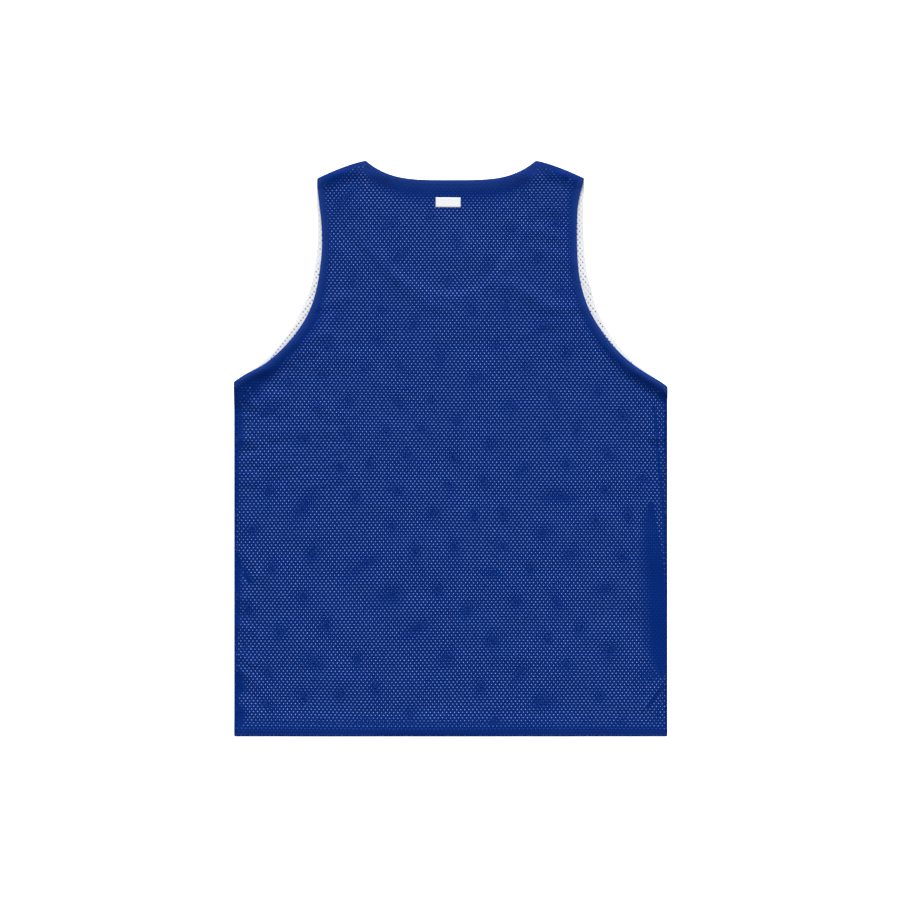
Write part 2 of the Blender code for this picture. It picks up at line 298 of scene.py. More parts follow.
def is_inside(points, polygon):
    """True for each point that lies inside a closed polygon."""
    x, y = points.T
    inside = np.zeros(len(points), bool)
    for (x0, y0), (x1, y1) in zip(polygon, np.roll(polygon, -1, 0)):
        crosses = (y0 > y) != (y1 > y)
        rise = y1 - y0 if y1 != y0 else 1.0
        inside ^= crosses & (x < x0 + (y - y0) * (x1 - x0) / rise)
    return inside


TURN_ROOM = 0.8 * MM           # at a sewn edge the hidden ply is rolled back by this much
WHITE_SEAM_ROOM = 3.0 * MM     # and the white vest is this much narrower at the seams
BLUE_BACK = Outline(BACK_CUT, 0.0, 0.0)
WHITE_BACK = Outline(BACK_CUT, WHITE_SEAM_ROOM, TURN_ROOM)
WHITE_FRONT = Outline(FRONT_CUT, WHITE_SEAM_ROOM, 0.0)
BLUE_FRONT = Outline(FRONT_CUT, 0.0, TURN_ROOM)
print("outline points:", len(BLUE_BACK.points), len(BLUE_FRONT.points))

# %% [markdown]
# ## How the cloth lies
# Laid out by hand, the cloth keeps soft folds: a crease that runs from one shoulder to the middle
# of the chest, a ridge at the other armhole, wrinkles that fan out of the left armhole, and puckers
# beside the seams. A cloth simulation would give folds of its own, not these, so each is a row in a
# table: a soft ridge with a place, a bow, a width and a height. Negative heights are troughs.

# %% Folds
FOLD_COLUMNS = ("x0", "y0", "x1", "y1", "bow", "half_width", "height")
MAIN_FOLDS = (
    # the crease from the left shoulder to the middle of the chest
    (-126, 290, -72, 222, -4, 6, 0.9),
    (-76, 226, -22, 188, -4, 6.5, 0.65),
    (-28, 190, 30, 160, 3, 7, 0.45),
    # the ridge that runs in from the right armhole, and the wrinkle under it
    (70, 214, 108, 201, 3, 9, 1.2),
    (102, 203, 136, 184, -3, 10, 1.15),
    (130, 186, 176, 188, -4, 10, 1.0),
    (122, 163, 172, 164, 4, 7, 0.9),
    (92, 150, 122, 168, -4, 7, 0.6),
    # behind the right shoulder
    (106, 312, 150, 312, 4, 8, 0.8),
    (104, 284, 146, 274, 6, 8, 1.0),
    (112, 262, 158, 246, 3, 9, 0.8),
    (70, 246, 104, 262, -5, 9, 0.6),
    # wrinkles that fan out of the left armhole
    (-168, 186, -138, 198, 2, 8, 1.1),
    (-180, 160, -150, 172, 2, 7, 0.9),
    (-196, 136, -160, 152, 3, 8, 1.4),
    (-150, 138, -124, 148, 2, 7, 0.7),
    (-214, 116, -182, 128, 2, 6, 1.1),
    (-172, 112, -140, 122, 2, 8, 0.6),
    (-236, 104, -208, 112, 2, 6, 0.8),
    (-150, 262, -128, 240, 2, 8, 0.7),
    # the body beside the left underarm
    (-262, 56, -216, 66, 4, 9, 0.9),
    (-258, 28, -150, 24, -4, 10, 0.5),
    (-248, -168, -222, -200, 0, 8, 0.9),
    (252, -128, 248, -300, 5, 11, 0.9),
    (-150, 345, -128, 318, 0, 12, 0.8),
)
FINE_FOLDS = (
    (-142, 300, -112, 262, -3, 5, 0.4),
    (118, 158, 170, 156, 4, 5, 0.3),
    (104, 262, 122, 243, 0, 4, -0.3),
    (-182, 178, -144, 182, 2, 4, -0.3),
    # puckers beside the left seam, from the underarm down
    (-260, 92, -232, 78, 3, 8, -0.6),
    (-286, 66, -256, 56, 2, 5, 0.6),
    (-286, 12, -268, 11, 0, 6, 1.4),
    (-286, -4, -266, -6, 0, 5, -0.8),
    (-286, -130, -256, -168, 4, 8, 1.35),
    (-286, -152, -268, -180, 3, 5, -0.5),
    (-286, -197, -272, -200, 0, 6, 1.3),
    (-286, -216, -270, -220, 0, 5, -0.7),
    (-286, -234, -264, -240, 2, 6, 1.2),
    (-286, -254, -264, -260, 2, 5, -0.6),
    (-286, -274, -262, -284, 2, 6, 1.2),
    (-286, -290, -256, -312, 3, 6, 1.7),
    (-286, -316, -258, -330, 2, 6, -0.9),
    (-286, -346, -252, -352, 2, 6, 0.8),
    # the right side
    (286, 14, 266, 14, 0, 5, 1.3),
    (286, 1, 264, 2, 0, 4, -0.7),
    (262, 0, 268, -96, 3, 4, 0.4),
    (257, -122, 256, -306, 4, 4, -0.4),
    (286, -296, 256, -344, 0, 5, 0.9),
    # level puckers under both shoulder seams
    (-152, 362, -88, 359, 2, 7, 1.2),
    (90, 360, 148, 361, -2, 7, 1.1),
    (-286, 88, -248, 104, 0, 8, 2.2),
    (286, 81, 240, 104, 0, 8, 1.6),
    (-128, 340, -108, 318, 0, 5, 0.3),
    (140, 350, 150, 316, 2, 5, 0.4),
    (166, 348, 172, 316, -2, 4, 0.4),
)
SWELL_HEIGHT = 0.9 * MM
SWELL_LENGTH = 0.30
SWELL_SLANT = 0.4
SEAM_FADE = 24.0 * MM
FINE_FADE = 3.0 * MM
LABEL_CENTRE = np.array((-3.4, 325.0)) * MM
LABEL_FLAT = 20 * MM
LABEL_FADE = 66 * MM


def add_fold(height, points, row):
    """Adds one soft ridge, which fades at both ends, to the heights of the points near it."""
    fold = dict(zip(FOLD_COLUMNS, row))
    start = np.array((fold["x0"], fold["y0"])) * MM
    end = np.array((fold["x1"], fold["y1"])) * MM
    reach = (3 * fold["half_width"] + abs(fold["bow"])) * MM
    low, high = np.minimum(start, end) - reach, np.maximum(start, end) + reach
    near = np.all((points > low) & (points < high), axis=1)
    way, places = end - start, points[near] - start
    length = np.linalg.norm(way)
    along = places @ way / length
    across = places @ np.array((-way[1], way[0])) / length
    t = np.clip(along / length, 0.0, 1.0)
    across = across - fold["bow"] * MM * 4.0 * t * (1.0 - t)
    beyond = along - t * length
    ridge = np.exp(-(across ** 2 + beyond ** 2) / (fold["half_width"] * MM) ** 2)
    height[near] += fold["height"] * MM * ridge


def folds_height(points, rows):
    height = np.zeros(len(points))
    for row in rows:
        add_fold(height, points, row)
    return height


print("folds:", len(MAIN_FOLDS), "main ones and", len(FINE_FOLDS), "fine ones")


# %% [markdown]
# Between the named folds the cloth isn't flat either. Low sine waves run over all of it, and on the
# left it is gathered into short level ridges. Their sizes and places are drawn once from a seeded
# generator, so every run gives the same cloth.

# %% Low waves and ripples
WAVE_SEED = 11
WAVE_COUNT = 16
WAVE_HEIGHT = 0.32 * MM        # of a wave of middling length, if there were only one
WAVE_LENGTHS = (25, 90)        # mm
WAVE_MIDDLE = 60 * MM          # longer waves are higher in proportion, shorter ones lower
RIPPLE_COUNT = 90
RIPPLE_FIELD = {"x": (-284, -146), "y": (-58, 62)}      # mm
RIPPLE_SIZES = {"length": (6, 20), "half_width": (2.6, 4.8), "height": (0.25, 0.6), "rise": (-2, 5)}


def low_waves(points):
    """A sum of gentle waves in all directions."""
    random = np.random.default_rng(WAVE_SEED)
    total = np.zeros(len(points))
    for _ in range(WAVE_COUNT):
        length = random.uniform(*WAVE_LENGTHS) * MM
        angle = random.uniform(0, np.pi)
        phase = random.uniform(0, 2 * np.pi)
        way = points @ np.array((np.cos(angle), np.sin(angle)))
        total += np.sin(2 * np.pi * way / length + phase) * (length / WAVE_MIDDLE)
    return WAVE_HEIGHT * total / math.sqrt(WAVE_COUNT)


def scattered_ripples():
    """Short level ridges, with the columns of FOLD_COLUMNS; every third one is a trough."""
    random = np.random.default_rng(WAVE_SEED)
    rows = []
    for k in range(RIPPLE_COUNT):
        x, y = (random.uniform(*limits) for limits in RIPPLE_FIELD.values())
        length, half_width, height, rise = (random.uniform(*limits) for limits in RIPPLE_SIZES.values())
        rows.append((x, y, x + length, y + rise, 0.0, half_width, -height if k % 3 == 0 else height))
    return rows


RIPPLES = scattered_ripples()
middle_wave = float(low_waves(np.zeros((1, 2)))[0])
print("ripples:", len(RIPPLES), "- height of the low waves in the middle, mm:", round(middle_wave / MM, 2))

# %% [markdown]
# ## Thick edges
# Round the neck, the armholes and the hem both plies are turned in, so four layers lie there and
# the edge stands up a little, with a groove where the row of stitches pulls it down. The front's
# own neck edge, just as thick, shows through the back as a raised line.

# %% Edge profiles
# For each thick edge rows of (place along the edge, height of the turned cloth, width of its level
# top, width of the slope down from it, width of the roll at the very edge), in mm. Under the arms
# the cloth bunches up.
SEWN_PROFILE = {
    "hem": ((0, 1.8, 9, 22, 2), (0.15, 2.9, 9, 25, 2), (0.55, 2.9, 9, 25, 2),
            (0.75, 2.3, 9, 24, 2), (1, 1.6, 9, 22, 2)),
    "right_armhole": ((0, 6.9, 4, 19, 5), (0.12, 6.3, 4, 18, 5), (0.26, 4.4, 3, 17, 4),
                      (0.38, 2.2, 2, 12, 3), (0.5, 0.8, 3, 7, 2), (0.9, 0.8, 3, 8, 2), (1, 2, 2, 14, 2)),
    "neck": ((0, 1.4, 1, 13, 2), (0.15, 2.4, 1, 21, 2), (0.35, 2.3, 1, 22, 2), (0.5, 1.6, 1, 17, 2),
             (0.65, 1.8, 1, 18, 2), (0.85, 2.6, 1, 20, 2), (1, 1.6, 1, 15, 2)),
    "left_armhole": ((0, 1.2, 2, 10, 2), (0.1, 0.8, 3, 8, 2), (0.5, 0.8, 3, 8, 2), (0.62, 2.4, 1, 14, 2),
                     (0.75, 4.6, 1, 19, 2), (0.88, 6.6, 1, 25, 2), (1, 10, 1, 42, 2)),
    "left_shoulder": ((0, 1.2, 6, 14, 1), (0.4, 2.6, 7, 16, 1), (0.7, 3.6, 7, 17, 1), (1, 2.6, 7, 16, 1)),
    "right_shoulder": ((0, 3.4, 6, 18, 1), (0.3, 3.4, 6, 18, 1), (0.7, 2.4, 6, 16, 1), (1, 1.2, 6, 14, 1)),
}
# For each stitched edge, in mm: how far in the stitches run, how much lower the edge lies outside
# them, and how much the cloth puffs up just inside them.
STITCHED = {"hem": (5.6, 0.50, 0.25), "neck": (6.0, 0.15, 0.0), "left_armhole": (5.2, 0.15, 0.0),
            "right_armhole": (5.2, 0.15, 0.0)}
STITCH_STEP_WIDTH = 2.4 * MM
PUFF_INSET = 2.0 * MM
PUFF_WIDTH = 1.6 * MM
ROLL_SHARE = 0.24              # the very edge drops by this share of the turned cloth's height
SEAM_RIDGE = 0.5 * MM          # the allowances inside a side seam lift the cloth beside it
SEAM_RIDGE_WIDTH = 5.0 * MM
NECK_SINK = 0.9 * MM           # the back sinks this far into the front's open neck
SINK_SLOPE = 7.0 * MM
SCOOP_LIFT = 0.22 * MM         # and rises this far over the front's neck edge,
SCOOP_BAND = 8.0 * MM          # which is so wide, with a slope outside and inside
SCOOP_RISE = 4.0 * MM
SCOOP_FALL = 7.0 * MM
SCOOP = FRONT_CUT["neck"][::3]


def sewn_edge_lift(points, cut):
    """The swell over the thick edges; where there are stitches the rim lies lower and is rounded."""
    lift, cuts = np.zeros(len(points)), np.zeros(len(points))
    for name, profile in SEWN_PROFILE.items():
        gap, place = nearest_on(points, sparser(cut[name], 6))
        height, level, slope, roll = (np.interp(place, *np.array(profile, float).T[[0, column]]) * MM
                                      for column in (1, 2, 3, 4))
        lift = np.maximum(lift, height * (1.0 - smoothstep((gap - level) / slope)))
        if name in STITCHED:
            inset, step_down, puff = np.array(STITCHED[name]) * MM
            beyond = inset - gap
            cuts += step_down * smoothstep(beyond / STITCH_STEP_WIDTH + 0.5)
            cuts -= puff * np.exp(-((beyond + PUFF_INSET) / PUFF_WIDTH) ** 2)
            cuts += ROLL_SHARE * height * (1.0 - smoothstep(gap / roll))
    return lift - cuts


def seam_ridge(points, cut):
    gap = distance_to_edges(points, cut, SEAMS)
    return SEAM_RIDGE * np.exp(-((gap - SEAM_RIDGE_WIDTH) / SEAM_RIDGE_WIDTH) ** 2)


def scoop_relief(points):
    """The front's thick neck edge under the back, and the drop into the open scoop inside it."""
    gap, inside = distance_to(points, SCOOP), is_inside(points, SCOOP)
    outside = np.where(inside, -gap, gap)
    rise = smoothstep(outside / SCOOP_RISE + 0.5)
    fall = smoothstep((outside - SCOOP_BAND) / SCOOP_FALL + 0.5)
    return SCOOP_LIFT * rise * (1.0 - fall) - NECK_SINK * smoothstep(gap / SINK_SLOPE) * inside


for name, line in BACK_CUT.items():
    lifts = sewn_edge_lift(even_points(line, EDGE_STEP), BACK_CUT) / MM
    print(name, "rises by", lifts.min().round(2), "to", lifts.max().round(2), "mm at its rim")


# %% [markdown]
# ## Heights of the four plies
# From the surface up: blue front, white front, white back, blue back. Where the two blue plies are
# sewn together at the sides and shoulders they bend towards each other like the rim of a pillow.

# %% Heights
FRONT_OUTER_Z = 0.25 * MM
FRONT_INNER_Z = 1.30 * MM
BACK_OUTER_Z = BACK_BOX[0][2] + 1.75 * MM
PLY_STEP = 0.55 * MM           # from the blue back down to the white one
SEAM_TURN = 4.5 * MM           # the bend at a seam begins this far from it
SEAM_HALF_GAP = 0.25 * MM
SEAM_Z = 2.75 * MM             # where the two blue plies meet
PRESS_AT_SCOOP = 0.17 * MM     # how much closer to the blue ply the white one is held
PRESS_IN_SCOOP = 0.07 * MM
PRESS_WIDTH = 3.8 * MM
PRESS_AT_HEM = 0.15 * MM
HEM_PRESS_AT = 25.0 * MM       # from the hem
HEM_PRESS_WIDTH = 9.0 * MM
BUNCH_SHARE = 0.7              # the white ply follows this much of the swell at the edges


def seam_bend(points, cut, drop):
    t = np.clip(1.0 - distance_to_edges(points, cut, SEAMS) / SEAM_TURN, 0.0, 1.0)
    return drop * (1.0 - np.sqrt(np.maximum(1.0 - t * t, 0.0)))


def back_relief(points):
    """Everything that lifts the back off the front, before the seams pull it down."""
    x, y = points.T
    main = folds_height(points, MAIN_FOLDS)
    turn = 2 * np.pi / SWELL_LENGTH
    swell = SWELL_HEIGHT * 0.5 * (1.0 + np.sin(turn * (x + SWELL_SLANT * y)) * np.cos(turn * y))
    seam_gap = distance_to_edges(points, BACK_CUT, SEAMS)
    at_label = smoothstep((np.linalg.norm(points - LABEL_CENTRE, axis=1) - LABEL_FLAT) / LABEL_FADE)
    fine = folds_height(points, FINE_FOLDS) + folds_height(points, RIPPLES) + low_waves(points)
    return ((main + swell) * at_label * smoothstep(seam_gap / SEAM_FADE)
            + fine * smoothstep(seam_gap / FINE_FADE) + scoop_relief(points)
            + BUNCH_SHARE * sewn_edge_lift(points, BACK_CUT))


def back_outer_height(points):
    bend = seam_bend(points, BACK_CUT, BACK_OUTER_Z - SEAM_Z - SEAM_HALF_GAP)
    return (BACK_OUTER_Z + back_relief(points) + (1.0 - BUNCH_SHARE) * sewn_edge_lift(points, BACK_CUT)
            + seam_ridge(points, BACK_CUT) - bend)


def pressed(points):
    """How far the front's neck edge and the hem press the white ply up against the blue one."""
    at_scoop = PRESS_AT_SCOOP * np.exp(-(distance_to(points, SCOOP) / PRESS_WIDTH) ** 2)
    from_hem = distance_to(points, BACK_CUT["hem"]) - HEM_PRESS_AT
    at_hem = PRESS_AT_HEM * np.exp(-(from_hem / HEM_PRESS_WIDTH) ** 2)
    return np.maximum(np.maximum(at_scoop, at_hem), PRESS_IN_SCOOP * is_inside(points, SCOOP))


def back_inner_height(points):
    return BACK_OUTER_Z - PLY_STEP + pressed(points) + back_relief(points)


def front_inner_height(points):
    return FRONT_INNER_Z + 0.5 * sewn_edge_lift(points, FRONT_CUT) + low_waves(points[:, ::-1])


def front_outer_height(points):
    return FRONT_OUTER_Z + seam_bend(points, FRONT_CUT, SEAM_Z - SEAM_HALF_GAP - FRONT_OUTER_Z)


for ply_height in (front_outer_height, front_inner_height, back_inner_height, back_outer_height):
    print(ply_height.__name__, "in the middle, mm:", round(float(ply_height(np.zeros((1, 2)))[0]) / MM, 2))


# %% [markdown]
# ## The net
# Pinnie mesh is a warp knit with rows of small eyelets, each row shifted by half a step. At arm's
# length the holes are what one sees, so they are cut for real: every hole is a hexagon, and eight
# triangles join it to its six neighbours. Bump or transparency would not let the white vest shine
# through the blue one, nor draw the soft moire of two nets that don't quite match.
#
# The net is laid out in the cloth's own coordinates and then stretched by a few millimetres, as
# cloth is when it's handled.

# %% Net layout
# size in mm, length across, length up, phase: slow waves that bend the rows and columns
STRETCH = ((0.9, 0.90, 0.55, 0.4), (0.45, 0.33, 0.47, 2.1), (0.25, 0.21, -0.26, 4.0))
# The white back was never smoothed by hand, so its net has shorter waves as well.
SLACK = ((0.60, 0.15, 0.24, 1.0), (0.42, -0.20, 0.14, 2.5), (0.25, 0.11, -0.13, 0.3))
STRETCH_UP_SHARE = 0.6         # the waves move the cloth less up and down than sideways,
STRETCH_UP_PHASE = 1.3         # and out of step with that
BLUE_NET = {"step": 5.31 * MM, "row": 3.62 * MM, "hole": (1.47 * MM, 1.90 * MM)}
WHITE_NET = {"step": 6.00 * MM, "row": 3.94 * MM, "hole": (1.46 * MM, 1.74 * MM)}
# Each ply was cut from its own piece of cloth, so its net is shifted and slightly turned (degrees).
NETS = {
    "blue_back": {**BLUE_NET, "turns": (0.0, 0.0), "shift": (0.0, 0.0), "seed": 3},
    "white_back": {**WHITE_NET, "turns": (-1.1, -1.0), "shift": (0.0, 0.0), "seed": 5,
                   "step": 5.80 * MM, "row": 3.93 * MM, "slack": SLACK, "closing": 0.26},
    "white_front": {**WHITE_NET, "turns": (-0.6, 1.2), "shift": (0.5, 0.25), "seed": 6},
    "blue_front": {**BLUE_NET, "turns": (0.8, -0.5), "shift": (0.3, 0.1), "seed": 8},
}
HOLE_CORNERS = np.array([(0.5, 0.22), (0, 0.5), (-0.5, 0.22), (-0.5, -0.22), (0, -0.5), (0.5, -0.22)])
CLOSING_FROM, CLOSING_OVER = -0.09, 0.21   # a slack net's holes close up towards the neck
HOLE_UNEVEN = 0.03             # share by which holes differ in size
HOLE_STRAY = 0.05 * MM         # and how far they stray
EDGE_CLEAR = 3.0 * MM          # no hole lies closer to an edge than this
SQUEEZE = 0.075                # rows lie closer together towards the neck
SQUEEZE_FROM, SQUEEZE_OVER = 0.12, 0.20
NET_REACH = 0.44               # the net is laid out this far each way from the middle


def stretch_cloth(u, v, net):
    """From the cloth's own coordinates to the place on the table."""
    across_turn, up_turn = (math.radians(turn) for turn in net["turns"])
    x = u * math.cos(across_turn) - v * math.sin(up_turn)
    y = u * math.sin(across_turn) + v * math.cos(up_turn)
    t = np.clip((y - SQUEEZE_FROM) / SQUEEZE_OVER, 0.0, 1.0)
    beyond = np.maximum(y - SQUEEZE_FROM - SQUEEZE_OVER, 0.0)
    y = y - SQUEEZE * (SQUEEZE_OVER * (t ** 3 - t ** 4 / 2) + beyond)
    for size, across, up, phase in STRETCH + net.get("slack", ()):
        wave = 2 * np.pi * (u / across + v / up) + phase + net["seed"]
        x = x + size * MM * np.sin(wave)
        y = y + STRETCH_UP_SHARE * size * MM * np.cos(wave + STRETCH_UP_PHASE * net["seed"])
    return x, y


def net_holes(outline, net):
    """Corner points of every hole, and the grid of hole numbers with -1 where there is none."""
    most = {name: int(NET_REACH / net[name]) for name in ("row", "step")}
    rows, columns = (np.arange(-most[name], most[name] + 1) for name in ("row", "step"))
    row, column = np.meshgrid(rows, columns, indexing="ij")
    random = np.random.default_rng(net["seed"])
    u = (column + 0.5 * (row % 2) + net["shift"][0]) * net["step"]
    v = (row + 2 * net["shift"][1]) * net["row"]
    u = u + random.uniform(-1, 1, u.shape) * HOLE_STRAY
    v = v + random.uniform(-1, 1, v.shape) * HOLE_STRAY
    size = 1.0 + HOLE_UNEVEN * random.uniform(-1, 1, row.shape)
    size = size * (1.0 - net.get("closing", 0.0) * smoothstep((v - CLOSING_FROM) / CLOSING_OVER))
    x, y = stretch_cloth(u, v, net)
    centres = np.column_stack((x.ravel(), y.ravel()))
    loop = np.vstack((outline.points[::2], outline.points[:1]))
    keep = is_inside(centres, loop)
    keep[keep] = distance_to(centres[keep], loop) > EDGE_CLEAR
    number = np.full(row.size, -1)
    number[keep] = np.arange(keep.sum())
    size = size.ravel()[keep, None]
    corners = (middle.ravel()[keep, None] + size * net["hole"][axis] * HOLE_CORNERS[:, axis]
               for axis, middle in enumerate((u, v)))
    x, y = stretch_cloth(*corners, net)
    return np.column_stack((x.ravel(), y.ravel())), number.reshape(row.shape), rows


WAY_BACK_ROUNDS = 12           # each one halves the error at least


def cloth_places(flat, net):
    """The way back: for places on the table, how many steps across and double rows up they lie."""
    u, v = flat.T
    for _ in range(WAY_BACK_ROUNDS):
        x, y = stretch_cloth(u, v, net)
        u, v = u + flat[:, 0] - x, v + flat[:, 1] - y
    return np.column_stack((u / net["step"], v / (2 * net["row"]))) - net["shift"]


for name, net in NETS.items():
    moved = np.ravel(stretch_cloth(0.0, 0.0, net)) / MM
    print(name, "middle of the net is stretched away by", moved.round(2), "mm")


# %% Threads between the holes
def shifted(grid, down, right):
    """The grid of hole numbers moved by some rows and columns, filled with -1."""
    out = np.full_like(grid, -1)
    n_rows, n_columns = grid.shape
    out[max(0, -down):n_rows - max(0, down), max(0, -right):n_columns - max(0, right)] = \
        grid[max(0, down):n_rows + min(0, down), max(0, right):n_columns + min(0, right)]
    return out


def net_triangles(number, rows):
    """Eight triangles for each hole: three bridges to its neighbours and two corners."""
    odd = (rows % 2 == 1)[:, None]
    right = shifted(number, 0, 1)
    up_right = np.where(odd, shifted(number, 1, 1), shifted(number, 1, 0))
    up_left = np.where(odd, shifted(number, 1, 0), shifted(number, 1, -1))
    triangles = []

    def add(*corners):
        """Each corner is a grid of holes and the corner's number on the hole."""
        there = np.all([grid >= 0 for grid, _ in corners], axis=0)
        columns = [6 * grid[there] + corner for grid, corner in corners]
        for k in range(1, len(columns) - 1):
            triangles.append(np.column_stack((columns[0], columns[k], columns[k + 1])))

    add((number, 5), (right, 3), (right, 2), (number, 0))
    add((number, 0), (up_right, 4), (up_right, 3), (number, 1))
    add((number, 1), (up_left, 5), (up_left, 4), (number, 2))
    add((number, 0), (right, 2), (up_right, 4))
    add((number, 1), (up_right, 3), (up_left, 5))
    return np.vstack(triangles)


# %% [markdown]
# The net's border is ragged, because it ends at whole holes. The strip between it and the outline
# is filled by Delaunay triangulation, which joins any points with well-shaped triangles. A flood
# fill from the outline inwards keeps only the strip itself.

# %% Strip along the outline
RIM_ROWS = (0.6 * MM, 1.8 * MM)   # rows of points just inside the edge, to round it
SAME_POINT = 1e-9


def border_edges(triangles, hole_count):
    """Edges where the net ends, as pairs of points: of the net, and of holes that stand open to it."""
    pairs = np.vstack([triangles[:, [a, b]] for a, b in ((0, 1), (1, 2), (2, 0))])
    pairs = np.sort(pairs, axis=1)
    unique, count = np.unique(pairs, axis=0, return_counts=True)
    once = {tuple(pair) for pair in unique[count == 1]}
    used = {tuple(pair) for pair in unique}
    rim = {tuple(sorted((6 * hole + k, 6 * hole + (k + 1) % 6)))
           for hole in range(hole_count) for k in range(6)}
    return (once - rim) | (rim - used)


def edge_strip(outline, corners, triangles, hole_count):
    """Triangles from the outline to the net; the outline and rim rows are numbered after the net."""
    barrier = border_edges(triangles, hole_count)
    ragged = sorted({point for pair in barrier for point in pair})
    place = {point: k for k, point in enumerate(ragged)}
    rows = [outline.points + outline.inward * inset for inset in (0.0, *RIM_ROWS)]
    n = len(outline.points)
    points = np.vstack((*rows, corners[ragged]))
    first_net = len(rows) * n
    loop = [(k, (k + 1) % n) for k in range(n)]
    fences = [(first_net + place[a], first_net + place[b]) for a, b in barrier]
    result = delaunay_2d_cdt([Vector(p) for p in points], loop + fences, [], 0, SAME_POINT)
    faces = [tuple(result[3][k][0] for k in face) for face in result[2]]
    closed = {tuple(sorted(pair)) for pair in loop + fences}
    by_edge = {}
    for k, (a, b, c) in enumerate(faces):
        for pair in ((a, b), (b, c), (c, a)):
            by_edge.setdefault(tuple(sorted(pair)), []).append(k)
    directed = {(face[i], face[(i + 1) % 3]): k for k, face in enumerate(faces) for i in range(3)}
    todo = [directed[pair] for pair in loop if pair in directed]
    kept = set(todo)
    while todo:
        a, b, c = faces[todo.pop()]
        for pair in ((a, b), (b, c), (c, a)):
            key = tuple(sorted(pair))
            if key in closed:
                continue
            for other in by_edge[key]:
                if other not in kept:
                    kept.add(other)
                    todo.append(other)
    number = np.concatenate((len(corners) + np.arange(first_net), ragged)).astype(int)
    return number[np.array([faces[k] for k in sorted(kept)])], points[:first_net]


# %% [markdown]
# ## Turned edges
# At each edge the cloth goes round a small fold and runs back inside as an allowance. Seen through
# the holes, the allowance is why the dots stop short of every edge. It was never pressed beside the
# side seams, and it is bunched up under the arms and at the neck, so its width wanders. At a corner
# the allowances are mitred so they don't cross.

# %% Allowance bands
# For each edge a list of bands. A band is rows of (place along the edge from 0 to 1, inner end in mm
# from the edge), in the order of the outline; a third number, in the middle, is where it starts.
BACK_TURNINGS = {
    "hem": [((0, 15.5), (0.35, 15), (0.6, 15.8), (1, 15.5))],
    "right_side": [
        ((0.166, 14), (0.19, 22), (0.22, 30), (0.246, 35), (0.332, 39), (0.39, 40), (0.444, 41),
         (0.504, 5, 41), (0.562, 10, 39), (0.619, 15, 36), (0.676, 20, 26)),
        ((0.41, 2, 3), (0.504, 2, 5), (0.619, 3.5, 8), (0.705, 6, 10.5), (0.762, 9, 14), (0.848, 12, 17),
         (0.92, 14, 19), (0.95, 18, 21)),
        ((0.08, 27, 30), (0.10, 20, 25), (0.13, 10, 15), (0.16, 1, 5)),
        ((0.92, 2), (0.955, 8), (0.98, 22), (1, 26)),
    ],
    "right_armhole": [((0, 20), (0.08, 20), (0.2, 18), (0.3, 18), (0.42, 16), (0.55, 14.5), (0.85, 14.5),
                       (0.93, 17), (1, 22))],
    "right_shoulder": [((0, 22), (0.3, 21), (0.55, 14), (0.75, 8), (1, 12))],
    "neck": [((0, 15), (0.1, 26), (0.25, 31), (0.5, 30), (0.7, 31), (0.9, 24), (1, 14))],
    "left_shoulder": [((0, 8), (0.3, 8), (0.55, 18), (0.8, 22), (1, 20))],
    "left_armhole": [((0, 15), (0.08, 12), (0.3, 12.5), (0.5, 16), (0.58, 23), (0.66, 19), (0.8, 21),
                      (0.9, 31), (0.95, 42), (1, 40))],
    "left_side": [
        ((0, 36), (0.03, 32), (0.042, 11), (0.055, 9), (0.07, 14), (0.18, 16), (0.2, 9), (0.34, 8),
         (0.37, 3), (0.4, 3), (0.46, 6), (0.49, 9), (0.53, 14), (0.56, 12), (0.58, 12), (0.69, 10),
         (0.73, 6), (0.8, 7), (0.83, 16), (0.87, 20), (0.885, 8), (0.905, 8), (0.92, 18), (0.95, 20),
         (1, 10)),
        ((0.50, 5, 10), (0.52, 5, 16), (0.54, 10, 22), (0.56, 18, 27), (0.575, 26, 29)),
    ],
}
FRONT_TURNINGS = {
    "hem": [((0, 13), (1, 13))],
    "right_side": [((0, 8), (1, 9))],
    "right_armhole": [((0, 1.8), (0.6, 2), (1, 9))],
    "right_shoulder": [((0, 9), (1, 9))],
    "neck": [((0, 12), (1, 12))],
    "left_shoulder": [((0, 9), (1, 9))],
    "left_armhole": [((0, 9), (0.4, 2), (1, 1.8))],
    "left_side": [((0, 9), (1, 8))],
}
FOLD_ROWS = ((0.0, 0.0), (0.30, 0.30), (0.8, 0.36), (1.3, 0.36))   # inset and drop, mm, round the fold
ALLOWANCE_DROP = 0.32 * MM
ALLOWANCE_ROWS = 11            # rows of points across an allowance, closer together at the edge
ALLOWANCE_GATHER = 1.4
THIN_FROM = 0.66               # beyond this share of its width the allowance lets light through
MITRE = 3.0                    # an allowance is at most this much wider than its distance from a corner
PLACE_SLIP = 1e-6


def edge_line(outline, name):
    """Points of one edge, directions into the cloth, and the place of each point from 0 to 1."""
    index = outline.edge_points[name]
    points = outline.points[index]
    along = np.append(0.0, np.cumsum(np.hypot(*np.diff(points, axis=0).T)))
    return points, outline.inward[index], along / along[-1], along[-1]


def band_limits(outline, name, band):
    """Where a band begins and ends at each point along it, mitred at the ends of the edge."""
    points, inward, places, length = edge_line(outline, name)
    rows = np.array([row if len(row) == 3 else (row[0], 0, row[1]) for row in band], float)
    kept = (places >= rows[0, 0] - PLACE_SLIP) & (places <= rows[-1, 0] + PLACE_SLIP)
    places = places[kept]
    begins = np.interp(places, rows[:, 0], rows[:, 1]) * MM
    ends = np.interp(places, rows[:, 0], rows[:, 2]) * MM
    mitre = np.minimum(places, 1.0 - places) * length * MITRE
    return points[kept], inward[kept], np.minimum(begins, mitre), np.minimum(ends, mitre)


